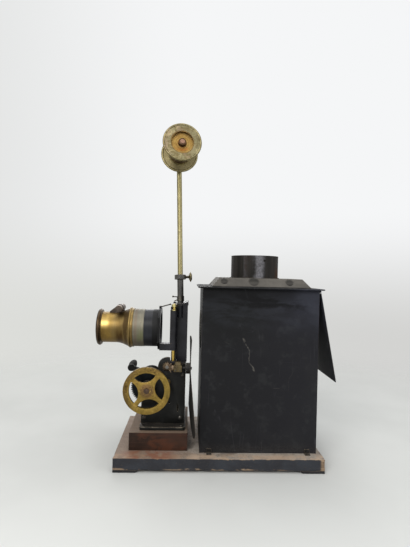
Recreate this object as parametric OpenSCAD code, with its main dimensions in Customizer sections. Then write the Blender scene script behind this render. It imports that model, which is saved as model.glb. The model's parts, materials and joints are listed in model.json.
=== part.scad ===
// Hand-cranked 35 mm film projector of about 1905: lens and film gate on a small
// gear frame, reel arm above it and a sheet-metal lamphouse behind, on one board.
// X runs from the lens to the lamphouse, Y away from the hand wheel, Z up.
// The origin is the middle of the baseboard's outline, on the table.

/* [Baseboard] */
// Length of the baseboard
board_l = 280; // [270:1:320]
// Width of the baseboard
board_w = 160; // [150:1:190]
// Thickness of the baseboard
board_t = 15.5; // [10:0.5:24]
// Height of the two battens under the board
batten_h = 3.5; // [2:0.5:10]
// Width of each batten along the board
batten_l = 33; // [20:1:45]
// Bevel along the board's upper edges
board_bevel = 1.2; // [0.4:0.1:3]

/* [Plinth] */
// Length of the wooden plinth under the mechanism
plinth_l = 79.7; // [76:0.5:84]
// Width of the wooden plinth
plinth_w = 112; // [104:1:124]
// Height of the wooden plinth
plinth_h = 24.3; // [15:0.1:40]
// Plinth's overhang behind the frame, towards the lamphouse
plinth_back = 4.7; // [3:0.1:5]

/* [Gear frame] */
// Distance of the film plane from the middle of the board
film_x = -67.5; // [-71:0.5:-64]
// Clear width between the two side plates
plate_gap = 60; // [59:0.5:64]
// Thickness of a side plate
plate_t = 3; // [2:0.1:4]
// Frame in front of the film plane
frame_front = 42; // [41:0.5:44]
// Frame behind the film plane
frame_back = 19.5; // [18.5:0.1:20.5]
// Height of the wide lower part of the side plates
apron_h = 38; // [30:1:40]
// Height of the side plates behind the main shaft
shoulder_h = 68; // [66:0.5:70]
// Height of the side plates under the gate
plate_h = 85; // [84:0.5:86]
// Thickness of the foot flange
flange_t = 4.7; // [3:0.1:7]
// Width of the foot flange across the board
flange_w = 96; // [88:1:102]
// Radius of the pillars between the side plates
pillar_r = 3; // [2:0.1:3.5]
// Radius of the near plate's round top, over the beater shaft
hump_r = 13; // [11:0.1:13.5]
// Radius of the far plate's round boss, about the main shaft
far_boss_r = 17.5; // [12:0.1:18]

/* [Gear train] */
// Main shaft in front of the film plane
main_dx = 33.5; // [33:0.1:34]
// Height of the main shaft above the foot flange
main_h = 50.3; // [49.8:0.1:50.8]
// Beater shaft in front of the film plane
beater_dx = 6.7; // [6.5:0.1:7]
// Height of the beater shaft above the foot flange
beater_h = 80.6; // [80.2:0.1:81]
// Tooth module of the spur gears
spur_mod = 0.9; // [0.89:0.01:0.92]
// Teeth of the large gear on the main shaft
main_teeth = 52; // [50:2:52]
// Teeth of the small gear on the sprocket shaft
sprocket_small_teeth = 13; // [13:1:14]
// Teeth of the large gear on the sprocket shaft
sprocket_large_teeth = 32; // [31:1:33]
// Teeth of the small gear on the beater shaft
beater_teeth = 16; // [15:1:17]
// Face width of the spur gears
gear_w = 3.2; // [2.6:0.1:3.2]
// Teeth of each of the two bevel gears
bevel_teeth = 16; // [14:2:18]
// Tooth module of the bevel gears
bevel_mod = 0.8; // [0.7:0.05:0.85]
// Radius of the main shaft
main_r = 3.5; // [3:0.1:4]
// Radius of the sprocket shaft
sprocket_shaft_r = 2.5; // [2:0.1:2.8]
// Radius of the beater shaft
beater_shaft_r = 2.4; // [2:0.1:2.8]
// Radial running clearance of every shaft
run_fit = 0.05; // [0.02:0.01:0.08]

/* [Hand wheel and crank] */
// Radius of the brass hand wheel
wheel_r = 32.5; // [30:0.1:34]
// Width of the hand wheel's rim, seen from the front
wheel_rim = 8; // [6:0.1:9]
// Thickness of the hand wheel
wheel_t = 5; // [3:0.1:6]
// Gap between the near side plate and the hand wheel's web
wheel_gap = 13; // [12:0.1:16]
// Length of the crank arm
crank_l = 35.5; // [30:0.1:40]
// Rest angle of the crank arm above the horizontal, towards the lens
crank_angle = 19; // [0:1:60]
// Radius of the crank's wooden grip
grip_r = 6.3; // [5:0.1:7]
// Length of the crank's wooden grip
grip_l = 36; // [30:0.5:38]

/* [Film movement] */
// Width of the film
film_w = 35; // [34.5:0.1:35.2]
// Pitch of the film's perforations
film_pitch = 4.75; // [4.7:0.01:4.8]
// Teeth round the feed sprocket
sprocket_teeth = 8; // [8:1:9]
// Distance of the beater roller from its shaft
beater_throw = 10.5; // [9:0.1:10.7]
// Radius of the beater roller
beater_roller_r = 3.2; // [2.5:0.1:3.4]
// Radius of the roller where the film leaves
exit_roller_r = 5; // [4:0.1:6]
// Width of the picture window
window_w = 24; // [22:0.1:26]
// Height of the picture window
window_h = 18; // [16:0.1:19]

/* [Gate] */
// Height of the gate casting
gate_h = 84; // [82:0.5:86]
// Thickness of the gate's cheeks
cheek_t = 2.2; // [1.5:0.1:2.4]
// Radius of the brass hinge pin
hinge_pin_r = 1.9; // [1.5:0.05:2.2]
// Outer radius of the hinge sleeve
hinge_sleeve_r = 4.3; // [3.6:0.1:4.5]

/* [Shutter] */
// Radius of the large shutter blade
blade_r = 92; // [80:0.5:92.5]
// Radius of the small shutter blade
small_blade_r = 45.2; // [40:0.1:60]
// Thickness of the shutter blade
blade_t = 0.6; // [0.5:0.1:1]
// Angle of the large blade
blade_angle = 84; // [60:1:110]
// Angle of the small blade
small_blade_angle = 44; // [30:1:70]
// Bend of the large blade away from the gate
blade_lean = 3; // [2.8:0.1:4]
// Twist of the large blade about its own middle line
blade_twist = 4; // [0:0.1:4.5]
// Twist of the small blade about its own middle line
small_blade_twist = 4; // [0:0.1:7]
// Radius of the shutter shaft
shutter_shaft_r = 2; // [1.6:0.1:2.3]

/* [Lens] */
// Height of the optical axis above the foot flange
axis_h = 131; // [130:0.1:132]
// Radius of the lens tube's outside
tube_r = 20.6; // [19:0.1:21]
// Wall of the lens tube
tube_wall = 1.2; // [0.8:0.1:1.6]
// Wall of the brass jacket round the lens tube
jacket_wall = 1.8; // [1.4:0.1:2]
// Radius of the flange at the front of the lens
front_flange_r = 26.8; // [25:0.1:28]
// Radius of the jacket's rear ring
jacket_ring_r = 29.9; // [29:0.1:31]
// Radius of the zinc sleeve and of the black tube behind it
sleeve_r = 27.7; // [27:0.1:28.2]
// Distance from the film plane to the lens carrier's rear face
lens_back = 18.6; // [17:0.1:20]
// Length of the black tube
black_l = 20.4; // [16:0.1:24]
// Length of the zinc sleeve
zinc_l = 15.8; // [12:0.1:18]
// Length of the jacket with its flare
jacket_l = 46; // [45:0.1:52]
// Travel of the focusing rack
focus_travel = 16; // [8:0.5:16]
// Radius of the focusing knobs
focus_knob_r = 5.3; // [4.6:0.1:5.6]

/* [Reel arm] */
// Height of the spindle above the gate, along the arm
arm_l = 229.2; // [200:0.1:260]
// Lean of the arm towards the lens
arm_lean = 2.1; // [0:0.1:4]
// Lean of the arm towards the far side
arm_tilt = 7.1; // [0:0.1:9]
// Radius of the sliding rod
rod_r = 3.9; // [3.2:0.1:4.2]
// Wall of the rod's socket
socket_wall = 0.7; // [0.6:0.1:1.5]
// Length of the rod's socket above the gate
socket_l = 35.2; // [28:0.1:40]
// Radius of the clamp collar
collar_r = 8.6; // [7.8:0.1:9]
// Height of the clamp collar
collar_h = 6.4; // [5.4:0.1:9]
// Radius of the clamp screw's disc
clamp_disc_r = 7.6; // [5:0.1:9]

/* [Reel] */
// Radius of the reel's cheeks
reel_r = 28.5; // [24:0.1:34]
// Width between the outer faces of the reel
reel_w = 47.5; // [44:0.1:56]
// Radius of the reel's hollow core
reel_core_r = 17; // [12:0.1:18]
// Radius of the reel's spindle
spindle_r = 3; // [2.5:0.1:3.5]
// Turn of the spindle away from the board's edge
reel_yaw = 6.5; // [0:0.1:12]

/* [Lamphouse] */
// Gap between the film plane and the lamphouse
house_gap = 40.5; // [38:0.1:42]
// Length of the lamphouse
house_l = 160; // [150:1:162]
// Width of the lamphouse
house_w = 123; // [112:1:130]
// Height of the lamphouse walls
house_h = 223.5; // [215:0.5:235]
// Thickness of the sheet metal
sheet = 0.8; // [0.6:0.1:1.2]
// Overhang of the roof's lip
lip = 5.5; // [4:0.1:8]
// Distance from the lip's edge to the foot of the hood
hood_inset = 15.5; // [13:0.1:18]
// Height of the hood above the lip
hood_h = 13; // [8:0.1:20]
// Slope of the hood, as its run on each side
hood_run = 11; // [6:0.1:14]
// How far the hood sits behind the middle of the lip
hood_shift = 2.5; // [0:0.1:4]
// Radius of the chimney collar
chimney_r = 35; // [30:0.1:38]
// Height of the chimney collar
chimney_h = 32.4; // [20:0.1:45]
// Length of the rear flap
flap_l = 126; // [118:1:134]
// Opening angle of the rear flap at rest
flap_open = 10.8; // [0:0.1:20]
// Radius of the condenser lenses
condenser_r = 27; // [24:0.1:30]
// How far the condenser's cell stands out of the front wall
cell_proud = 1.4; // [1:0.1:3]

/* [Lamp] */
// Radius of the oil tank
tank_r = 30; // [24:0.5:34]
// Height of the oil tank
tank_h = 34; // [28:0.5:42]
// Radius of the lamp glass at its bulge
glass_r = 21; // [17:0.1:24]
// Radius of the reflector
reflector_r = 38; // [30:0.5:44]
// Distance from the lamp's middle to the reflector's foot
reflector_gap = 38; // [35:0.5:42]
// Depth of the burner's foot below the lens axis
burner_drop = 34; // [30:0.5:37]
// Height of the burner up to its gallery
burner_h = 9; // [8:0.5:11]

/* [Hidden] */
$fn = 72;
eps = 0.01;
gap = 0.3;

// Heights: the board's top, the foot flange's top and the optical axis
deck = batten_h + board_t;
plinth_top = deck + plinth_h;
bench = plinth_top + flange_t;
axis_z = bench + axis_h;

// Side plates
px0 = film_x - frame_front;
px1 = film_x + frame_back;
y_in = plate_gap / 2;
y_out = y_in + plate_t;
plate_top = bench + plate_h;
pillar_in = 6;
bush_wall = 1.5;
bush_out = 0.8;

// Shafts: the sprocket shaft lies where both gear pairs mesh
main_x = film_x - main_dx;
main_z = bench + main_h;
beater_x = film_x - beater_dx;
beater_z = bench + beater_h;
main_to_sprocket = spur_mod * (main_teeth + sprocket_small_teeth) / 2;
sprocket_to_beater = spur_mod * (sprocket_large_teeth + beater_teeth) / 2;
span = [beater_x - main_x, beater_z - main_z];
span_l = norm(span);
foot = (pow(main_to_sprocket, 2) - pow(sprocket_to_beater, 2) + pow(span_l, 2)) / (2 * span_l);
rise = sqrt(pow(main_to_sprocket, 2) - pow(foot, 2));
sprocket_x = main_x + (foot * span.x + rise * span.y) / span_l;
sprocket_z = main_z + (foot * span.y - rise * span.x) / span_l;
to_sprocket = atan2(sprocket_z - main_z, sprocket_x - main_x);
to_beater = atan2(beater_z - sprocket_z, beater_x - sprocket_x);
exit_x = film_x - 16.5;
exit_z = bench + 22;
exit_rod_r = 2;

// Rows across the frame: film in the middle, then the beater's web, two rows of gears and the near plate
web_y = film_w / 2 + 1.5;
web_t = 2;
peg_head = 1.4;
beater_pin_r = 1.5;
feed_gear_y = -web_y - web_t - 0.9 - gear_w;
main_gear_y = feed_gear_y - 0.5 - gear_w;
beater_bush_y = feed_gear_y - 0.6;
web_reach = beater_throw + beater_roller_r + 0.7;

// Bevel pair outside the near plate; the shutter shaft runs along X there
bevel_r = bevel_mod * bevel_teeth / 2;
bevel_w = 3.5;
shutter_y = -(y_out + bush_out + 1.3 + bevel_r);
block_x0 = film_x + 3;
block_x1 = film_x + 14.4;
hub_x0 = film_x + 19.8;
blade_x = film_x + 25.2;

// Hand wheel and crank
wheel_y1 = -(y_out + wheel_gap);
wheel_y0 = wheel_y1 - wheel_t;
crank_y = y_out + 4;
crank_t = 4;
grip_x = main_x - crank_l * cos(crank_angle);
grip_z = main_z + crank_l * sin(crank_angle);
grip_pin_r = 2.5;

// Gate
gate_z1 = plate_top + gate_h;
cheek_in = film_w / 2 + gap;
cheek_out = cheek_in + cheek_t;
window_hole_r = 15;
gate_x0 = film_x - 2;
gate_x1 = film_x + 20.6;
pin_x = film_x + 1.5;
pin_y = -(y_in + 0.5);
ear_r = 4;
ear_t = 3.5;
sleeve_z0 = axis_z - 27.5;
sleeve_z1 = axis_z + 30;
door_x0 = gate_x0 - 2.1;
door_t = 1.7;
guide_pin_r = 0.8;
door_z0 = axis_z - 35;
door_z1 = axis_z + 33.5;

// Lens, from its carrier forward
carrier_t = 3.4;
carrier_x1 = film_x - lens_back;
carrier_x0 = carrier_x1 - carrier_t;
carrier_half = 29;
black_x0 = carrier_x0 - black_l;
zinc_x0 = black_x0 - zinc_l;
jacket_x0 = zinc_x0 - jacket_l;
latch_x = carrier_x0 + carrier_t / 2;
latch_z = axis_z + carrier_half + 2.2;
latch_pin_r = 0.75;
jacket_in = tube_r + run_fit;
jacket_r = jacket_in + jacket_wall;
flare_x1 = zinc_x0 - 7;
flare_l = 19;
rack_mod = 0.5;
rack_teeth = 16;
focus_x = jacket_x0 + 24.7;
rack_pitch_h = jacket_r + 2.2;
pinion_r = rack_mod * rack_teeth / 2;
focus_z = axis_z + rack_pitch_h + pinion_r;
rack_x0 = focus_x - 4;
rack_x1 = focus_x + focus_travel + 4;
rack_half = 1.8;
knob_y0 = 9;
knob_l = 10;
focus_shaft_r = 1.5;

// Reel arm
arm_x = film_x + 9.4;
arm_z = gate_z1;
socket_in = 6;
socket_r = rod_r + run_fit + socket_wall;
reel_s0 = 6.5;

// Lamphouse
house_x0 = film_x + house_gap;
house_x1 = house_x0 + house_l;
house_y = house_w / 2;
house_z1 = deck + house_h;
lip_t = 1.2;
roof_z0 = house_z1 + lip_t;
roof_z1 = roof_z0 + hood_h;
chimney_x = (house_x0 + house_x1) / 2 - 1;
rear_z0 = deck + 100;
rear_z1 = house_z1 - 8;
rear_half = house_y - 13;
dimple_h = 1.4;
flap_hinge_x = house_x1 + 1.7;
flap_hinge_z = house_z1 - 2;

// Lamp under the chimney
lamp_x = chimney_x;
lamp_z0 = deck + 0.2;
tank_z1 = lamp_z0 + tank_h;
burner_z = axis_z - burner_drop;
glass_z0 = burner_z + burner_h;
glass_z1 = roof_z1 - 4;
reflector_x = lamp_x + reflector_gap;
reflector_dish = 6;

module slab(y0, y1) {
  translate([0, y1, 0]) rotate([90, 0, 0]) linear_extrude(y1 - y0) children();
}

module across(x0, x1) {
  translate([x0, 0, 0]) rotate([90, 0, 90]) linear_extrude(x1 - x0) children();
}

module block(x0, x1, y0, y1, z0, z1) {
  translate([x0, y0, z0]) cube([x1 - x0, y1 - y0, z1 - z0]);
}

module rod_x(y, z, x0, x1, r) {
  translate([x0, y, z]) rotate([0, 90, 0]) cylinder(h = x1 - x0, r = r);
}

module rod_y(x, z, y0, y1, r) {
  translate([x, y1, z]) rotate([90, 0, 0]) cylinder(h = y1 - y0, r = r);
}

module rod_z(x, y, z0, z1, r) {
  translate([x, y, z0]) cylinder(h = z1 - z0, r = r);
}

module turned_x(y, z) {
  translate([0, y, z]) rotate([0, 90, 0]) rotate_extrude() children();
}

module arm_frame() {
  translate([arm_x, 0, arm_z]) rotate([-arm_tilt, -arm_lean, 0]) children();
}

module reel_frame() {
  arm_frame() translate([0, 0, arm_l]) rotate([0, 0, reel_yaw]) rotate([90, 0, 0]) children();
}

function involute(a) = tan(a) - a * PI / 180;

// Half angle of a gear tooth at radius r, thinned for backlash
function tooth_half(n, m, r, thin) =
  let (rp = n * m / 2, rb = rp * cos(20), a = acos(min(1, rb / max(r, rb))))
  90 / n * thin + (involute(20) - involute(a)) * 180 / PI;

module gear(n, m, add = 0.85, ded = 1.2, thin = 0.92) {
  rp = n * m / 2;
  radii = [rp - ded * m, rp, rp + add * m];
  polygon([
    for (i = [0 : n - 1], s = [-1, 1], k = [0 : 2])
      let (r = radii[s < 0 ? k : 2 - k], a = 360 * i / n + s * tooth_half(n, m, r, thin))
      [r * cos(a), r * sin(a)]
  ]);
}

module screw_head(r, h) {
  difference() {
    intersection() {
      cylinder(h = h, r = r);
      translate([0, 0, h - 1.6 * r]) sphere(r = 1.6 * r);
    }
    translate([-r, -0.35, h - 0.7]) cube([2 * r, 0.7, 1]);
  }
}

module baseboard() {
  color("saddlebrown") {
    l = board_l / 2;
    w = board_w / 2;
    b = board_bevel;
    intersection() {
      slab(-w, w)
        polygon([[-l, batten_h], [l, batten_h], [l, deck - b], [l - b, deck], [b - l, deck], [-l, deck - b]]);
      across(-l, l)
        polygon([[-w, batten_h], [w, batten_h], [w, deck - b], [w - b, deck], [b - w, deck], [-w, deck - b]]);
    }
  }
}

module battens() {
  color("black") {
    l = board_l / 2;
    w = board_w / 2;
    slant = 3;
    for (s = [-1, 1])
      slab(-w, w) polygon([
        [s * l, 0], [s * l, batten_h], [s * (l - batten_l), batten_h], [s * (l - batten_l + slant), 0]
      ]);
  }
}

module plinth() {
  color("sienna")
    block(px1 + plinth_back - plinth_l, px1 + plinth_back, -plinth_w / 2, plinth_w / 2, deck, plinth_top);
}

// Places of the four flange screws
function flange_holes() = [
  for (x = [px0 + 4, px1 - 4], y = [-flange_w / 2 + 7.5, flange_w / 2 - 7.5]) [x, y]
];

module foot_flange() {
  color("dimgray") {
    r = 4;
    x0 = px0 - 0.6;
    x1 = px1 + 1;
    difference() {
      union() {
        block(x0 + r, x1 - r, -flange_w / 2, flange_w / 2, plinth_top, bench);
        block(x0, x1, -flange_w / 2 + r, flange_w / 2 - r, plinth_top, bench);
        for (x = [x0 + r, x1 - r], y = [-flange_w / 2 + r, flange_w / 2 - r])
          rod_z(x, y, plinth_top, bench, r);
      }
      for (p = flange_holes())
        rod_z(p.x, p.y, plinth_top - 1, bench + 1, 1.8);
    }
  }
}

module frame_screws() {
  color("gray") {
    for (p = flange_holes())
      translate([p.x, p.y, bench]) rotate([0, 0, 30]) screw_head(3.4, 2);
    for (p = pillar_places()) {
      translate([p.x, -y_out, p.y]) rotate([90, 20, 0]) screw_head(3, 1.8);
      translate([p.x, y_out, p.y]) rotate([-90, 20, 0]) screw_head(3, 1.8);
    }
  }
}

// Pillars stand clear of the gears; the last entry carries the film exit roller
function pillar_places() = [
  [px0 + pillar_in, bench + 8],
  [px1 - pillar_in, bench + 8],
  [px1 - pillar_in + 2, plate_top - 16],
  [exit_x, exit_z]
];

// Outline of a side plate: its full height starts at top_x
module side_plate_shape(boss_r, top_x) {
  difference() {
    union() {
      translate([px0, bench]) square([px1 - px0, apron_h]);
      translate([main_x + 11, bench]) square([px1 - main_x - 11, shoulder_h]);
      translate([top_x, bench]) square([px1 - top_x, plate_h]);
      translate([main_x - 8, bench]) square([22, main_h]);
      translate([main_x, main_z]) circle(r = boss_r);
    }
    translate([main_x, main_z]) circle(r = main_r + bush_wall);
    translate([sprocket_x, sprocket_z]) circle(r = sprocket_shaft_r + bush_wall);
  }
}

module side_plate_near() {
  color("#222222")
    slab(-y_out, -y_in) difference() {
      union() {
        side_plate_shape(main_r + 6.5, beater_x);
        translate([beater_x, beater_z]) circle(r = hump_r);
      }
      translate([pin_x - ear_r - gap, plate_top]) square([hump_r, hump_r]);
      translate([beater_x, beater_z]) circle(r = beater_shaft_r + bush_wall);
      translate([film_x - 2.9, bench + 29.5]) circle(r = 1.6);
      translate([film_x + 8.6, bench + 17]) square([1.8, 10]);
    }
}

module side_plate_far() {
  color("#222222")
    slab(y_in, y_out) side_plate_shape(far_boss_r, film_x + 5.5);
}

module frame_pillars() {
  color("gray") {
    for (p = [for (i = [0 : 2]) pillar_places()[i]])
      rod_y(p.x, p.y, -y_in, y_in, pillar_r);
    rod_y(exit_x, exit_z, -y_in, y_in, exit_rod_r);
  }
}

module bush(x, z, r, y0, y1) {
  difference() {
    rod_y(x, z, y0, y1, r + bush_wall);
    rod_y(x, z, y0 - 1, y1 + 1, r + run_fit);
  }
}

module shaft_bushes() {
  near = -y_out - bush_out;
  color("darkgoldenrod") {
    for (m = [0, 1])
      mirror([0, m, 0]) {
        bush(main_x, main_z, main_r, near, -y_in + bush_out);
        bush(sprocket_x, sprocket_z, sprocket_shaft_r, near, -y_in + bush_out);
      }
    bush(beater_x, beater_z, beater_shaft_r, near, beater_bush_y);
  }
}

module gate_bridge() {
  color("#222222")
    difference() {
      union() {
        block(film_x + 8.5, px1, -y_in, y_in, plate_top - 4, plate_top);
        block(pin_x - ear_r, pin_x + ear_r, pin_y - ear_r, pin_y + ear_r, plate_top, plate_top + ear_t);
        block(pin_x - ear_r + 0.6, pin_x + ear_r, pin_y + hinge_pin_r + 0.5, pin_y + ear_r, plate_top, sleeve_z0 - 3);
      }
      rod_z(pin_x, pin_y, plate_top + 0.5, plate_top + ear_t + 1, hinge_pin_r);
    }
}

module gate_casting() {
  color("#1c1c1c")
    difference() {
      union() {
        difference() {
          union() {
            block(gate_x0, gate_x1, -cheek_out, cheek_out, plate_top, gate_z1);
            rod_z(arm_x, -cheek_out + 2, gate_z1 - 20, gate_z1 - 2, rod_r + 0.8);
          }
          block(gate_x0 - 1, gate_x1 - 2.5, -cheek_in, cheek_in, plate_top + 3, gate_z1 - 8);
          block(gate_x0 - 1, film_x + 3.5, -cheek_in, cheek_in, plate_top - 1, gate_z1 + 1);
          rod_x(0, axis_z, gate_x1 - 4, gate_x1 + 1, window_hole_r);
        }
        block(pin_x - ear_r, pin_x + ear_r, pin_y - ear_r, -cheek_out, gate_z1 - ear_t, gate_z1);
        block(gate_x1 - 5.6, gate_x1 + 0.8, -cheek_out, cheek_out, gate_z1 - 2, gate_z1 + 1.4);
        rod_y(gate_x1 - 0.8, gate_z1 + 1.2, -cheek_out, cheek_out, 1.5);
      }
      rod_y(beater_x, beater_z, -cheek_out - 1, cheek_out + 1, web_reach);
      rod_z(pin_x, pin_y, gate_z1 - ear_t - 1, gate_z1 + 1, hinge_pin_r);
      arm_frame() translate([0, 0, -socket_in]) cylinder(h = socket_in + 3, r = socket_r);
    }
}

module aperture_plate() {
  color("silver")
    difference() {
      block(film_x + 0.3, film_x + 1.8, -cheek_in, cheek_in, plate_top + 9, gate_z1 - 2);
      block(film_x, film_x + 2, -window_w / 2, window_w / 2, axis_z - window_h / 2, axis_z + window_h / 2);
      rod_y(beater_x, beater_z, -cheek_out - 1, cheek_out + 1, web_reach);
    }
}

module film_guide_wires() {
  color("lightgray")
    arm_frame() {
      difference() {
        translate([0, 0, 2.6]) cylinder(h = 7.4, r = socket_r + 0.8);
        translate([0, 0, 1]) cylinder(h = 12, r = socket_r);
      }
      translate([-socket_r - 0.4, 0, 4.6]) rotate([0, -115, 0]) cylinder(h = 5, r = 0.8);
      translate([-socket_r - 0.4, 0, 9]) rotate([0, -84, 0]) {
        cylinder(h = 6.6, r = 0.8);
        translate([0, 0, 6.2]) sphere(r = 1.4);
      }
    }
}

module hinge_pin() {
  color("goldenrod") {
    rod_z(pin_x, pin_y, plate_top + 0.5, gate_z1 + 0.8, hinge_pin_r);
    rod_z(pin_x, pin_y, plate_top + ear_t, sleeve_z0 - 0.1, hinge_pin_r + 0.45);
  }
}

module bearing_block() {
  color("goldenrod")
    difference() {
      union() {
        block(block_x0, block_x1, shutter_y - 5.5, -y_out, beater_z - 4.4, plate_top);
        block(block_x0 + 2, block_x1 - 2, shutter_y - 3, pin_y - ear_r - 0.4, plate_top - 1, beater_z + 8.5);
      }
      rod_x(shutter_y, beater_z, block_x0 - 1, block_x1 + 1, shutter_shaft_r + run_fit);
    }
}

module arm_socket() {
  color("#2a2a2a")
    arm_frame() difference() {
      translate([0, 0, -socket_in]) cylinder(h = socket_in + socket_l, r = socket_r);
      translate([0, 0, -socket_in + 1]) cylinder(h = socket_in + socket_l, r = rod_r + run_fit);
    }
}

module main_shaft() {
  color("silver")
    rod_y(main_x, main_z, wheel_y0 - 1.5, crank_y + crank_t + 1, main_r);
}

module wheel_shape() {
  inner = wheel_r - wheel_rim;
  difference() {
    circle(r = wheel_r);
    for (a = [8 : 90 : 278])
      intersection() {
        circle(r = inner);
        rotate(a) translate([inner + 4.5, 0]) circle(r = 17.5);
      }
  }
}

module hand_wheel() {
  color("goldenrod")
    difference() {
      union() {
        translate([main_x, 0, main_z]) slab(wheel_y0, wheel_y1) difference() {
          circle(r = wheel_r);
          circle(r = wheel_r - wheel_rim);
        }
        translate([main_x, 0, main_z]) slab(wheel_y0 + 0.6, wheel_y1 - 0.6) wheel_shape();
        rod_y(main_x, main_z, wheel_y0 - 0.4, -y_out - bush_out - 0.3, 7);
      }
      rod_y(main_x, main_z, wheel_y0 - 3, 0, main_r);
    }
}

module main_gear() {
  color("slategray")
    difference() {
      union() {
        translate([main_x, 0, main_z]) slab(main_gear_y, main_gear_y + gear_w)
          rotate(to_sprocket) gear(main_teeth, spur_mod);
        rod_y(main_x, main_z, main_gear_y, main_gear_y + gear_w + 5, main_r + 3);
      }
      rod_y(main_x, main_z, -y_in, 0, main_r);
    }
}

module crank_arm() {
  color("dimgray")
    difference() {
      union() {
        translate([main_x, 0, main_z]) slab(crank_y, crank_y + crank_t) {
          circle(r = 7);
          translate([-crank_l * cos(crank_angle), crank_l * sin(crank_angle)]) circle(r = 5.5);
          rotate(180 - crank_angle) translate([0, -4]) square([crank_l, 8]);
        }
        rod_y(grip_x, grip_z, crank_y, crank_y + crank_t + grip_l + 1.5, grip_pin_r);
        rod_y(grip_x, grip_z, crank_y + crank_t + grip_l + 1, crank_y + crank_t + grip_l + 2.5, grip_pin_r + 1.5);
      }
      rod_y(main_x, main_z, crank_y - 1, crank_y + crank_t + 1, main_r);
    }
}

module crank_grip() {
  y0 = crank_y + crank_t + 0.4;
  color("maroon")
    translate([grip_x, y0, grip_z]) rotate([-90, 0, 0]) difference() {
      rotate_extrude() polygon(concat(
        [[0, 0]],
        [for (i = [0 : 10]) [grip_r * (0.72 + 0.28 * sin(18 * i)), (grip_l - 0.2) * i / 10]],
        [[0, grip_l - 0.2]]
      ));
      translate([0, 0, -1]) cylinder(h = grip_l + 2, r = grip_pin_r + run_fit);
    }
}

module sprocket_shaft() {
  color("silver") {
    rod_y(sprocket_x, sprocket_z, -y_out - bush_out - 1, y_out + bush_out + 1, sprocket_shaft_r);
    translate([sprocket_x, 0, sprocket_z]) slab(main_gear_y - 0.2, main_gear_y + gear_w + 0.3)
      rotate(to_sprocket + 180 + 180 / sprocket_small_teeth) gear(sprocket_small_teeth, spur_mod);
  }
}

module feed_sprocket() {
  r = sprocket_teeth * film_pitch / (2 * PI);
  row = 14.1;
  color("goldenrod")
    difference() {
      union() {
        rod_y(sprocket_x, sprocket_z, -film_w / 2, film_w / 2, r - 1.2);
        for (s = [-1, 1]) {
          rod_y(sprocket_x, sprocket_z, s * row - 2.8, s * row + 2.8, r);
          for (i = [0 : sprocket_teeth - 1])
            translate([sprocket_x, s * row, sprocket_z]) rotate([0, 360 * i / sprocket_teeth, 0])
              translate([r - 0.5, -1, -0.9]) cube([1.7, 2, 1.8]);
        }
      }
      rod_y(sprocket_x, sprocket_z, -film_w, film_w, sprocket_shaft_r);
    }
}

module sprocket_large_gear() {
  color("goldenrod")
    difference() {
      union() {
        translate([sprocket_x, 0, sprocket_z]) slab(feed_gear_y, feed_gear_y + gear_w) difference() {
          rotate(to_beater) gear(sprocket_large_teeth, spur_mod);
          for (a = [0 : 60 : 300])
            rotate(a) translate([sprocket_large_teeth * spur_mod * 0.3, 0])
              circle(r = sprocket_large_teeth * spur_mod * 0.1);
        }
        rod_y(sprocket_x, sprocket_z, feed_gear_y, feed_gear_y + gear_w + 2.5, sprocket_shaft_r + 2.5);
      }
      rod_y(sprocket_x, sprocket_z, -y_in, 0, sprocket_shaft_r);
    }
}

module beater_crank() {
  color("silver") {
    rod_y(beater_x, beater_z, shutter_y + bevel_r - bevel_w, -web_y, beater_shaft_r);
    rod_y(beater_x + beater_throw, beater_z, -web_y - web_t, web_y, beater_pin_r);
    rod_y(beater_x + beater_throw, beater_z, web_y - peg_head, web_y, beater_roller_r - 0.4);
    translate([beater_x, 0, beater_z]) slab(-web_y - web_t, -web_y) {
      circle(r = 4);
      translate([beater_throw, 0]) circle(r = beater_roller_r);
      translate([0, -beater_roller_r]) square([beater_throw, 2 * beater_roller_r]);
    }
    translate([beater_x, 0, beater_z]) slab(feed_gear_y - 0.2, feed_gear_y + gear_w + 0.2)
      rotate(to_beater + 180 + 180 / beater_teeth) gear(beater_teeth, spur_mod);
  }
}

module beater_roller() {
  color("gainsboro")
    difference() {
      rod_y(beater_x + beater_throw, beater_z, -web_y + gap, web_y - peg_head - gap, beater_roller_r);
      rod_y(beater_x + beater_throw, beater_z, -web_y, web_y, beater_pin_r + run_fit);
    }
}

// Bevel gear with its axis on Z and its back face at z = 0, narrowing upwards
module bevel(turn, bore) {
  difference() {
    linear_extrude(bevel_w, scale = (bevel_r - bevel_w) / bevel_r)
      rotate(turn) gear(bevel_teeth, bevel_mod, add = 0.6, ded = 1.1, thin = 0.84);
    translate([0, 0, -1]) cylinder(h = bevel_w + 2, r = bore);
  }
}

module beater_bevel() {
  color("dimgray")
    translate([beater_x, shutter_y + bevel_r, beater_z]) rotate([90, 0, 0]) bevel(0, beater_shaft_r);
}

module shutter_bevel() {
  color("dimgray") {
    translate([beater_x + bevel_r, shutter_y, beater_z]) rotate([0, -90, 0])
      bevel(90 + 180 / bevel_teeth, shutter_shaft_r);
    difference() {
      rod_x(shutter_y, beater_z, beater_x + bevel_r, block_x0 - gap, 4);
      rod_x(shutter_y, beater_z, beater_x, block_x1, shutter_shaft_r);
    }
  }
}

module shutter_shaft() {
  color("silver") {
    rod_x(shutter_y, beater_z, beater_x + bevel_r - bevel_w, blade_x + 3, shutter_shaft_r);
    rod_x(shutter_y, beater_z, hub_x0, blade_x, 7.6);
  }
}

module sector(r, a) {
  polygon(concat([[0, 0]], [for (i = [-1 : 0.125 : 1]) [r * sin(i * a / 2), -r * cos(i * a / 2)]]));
}

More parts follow.
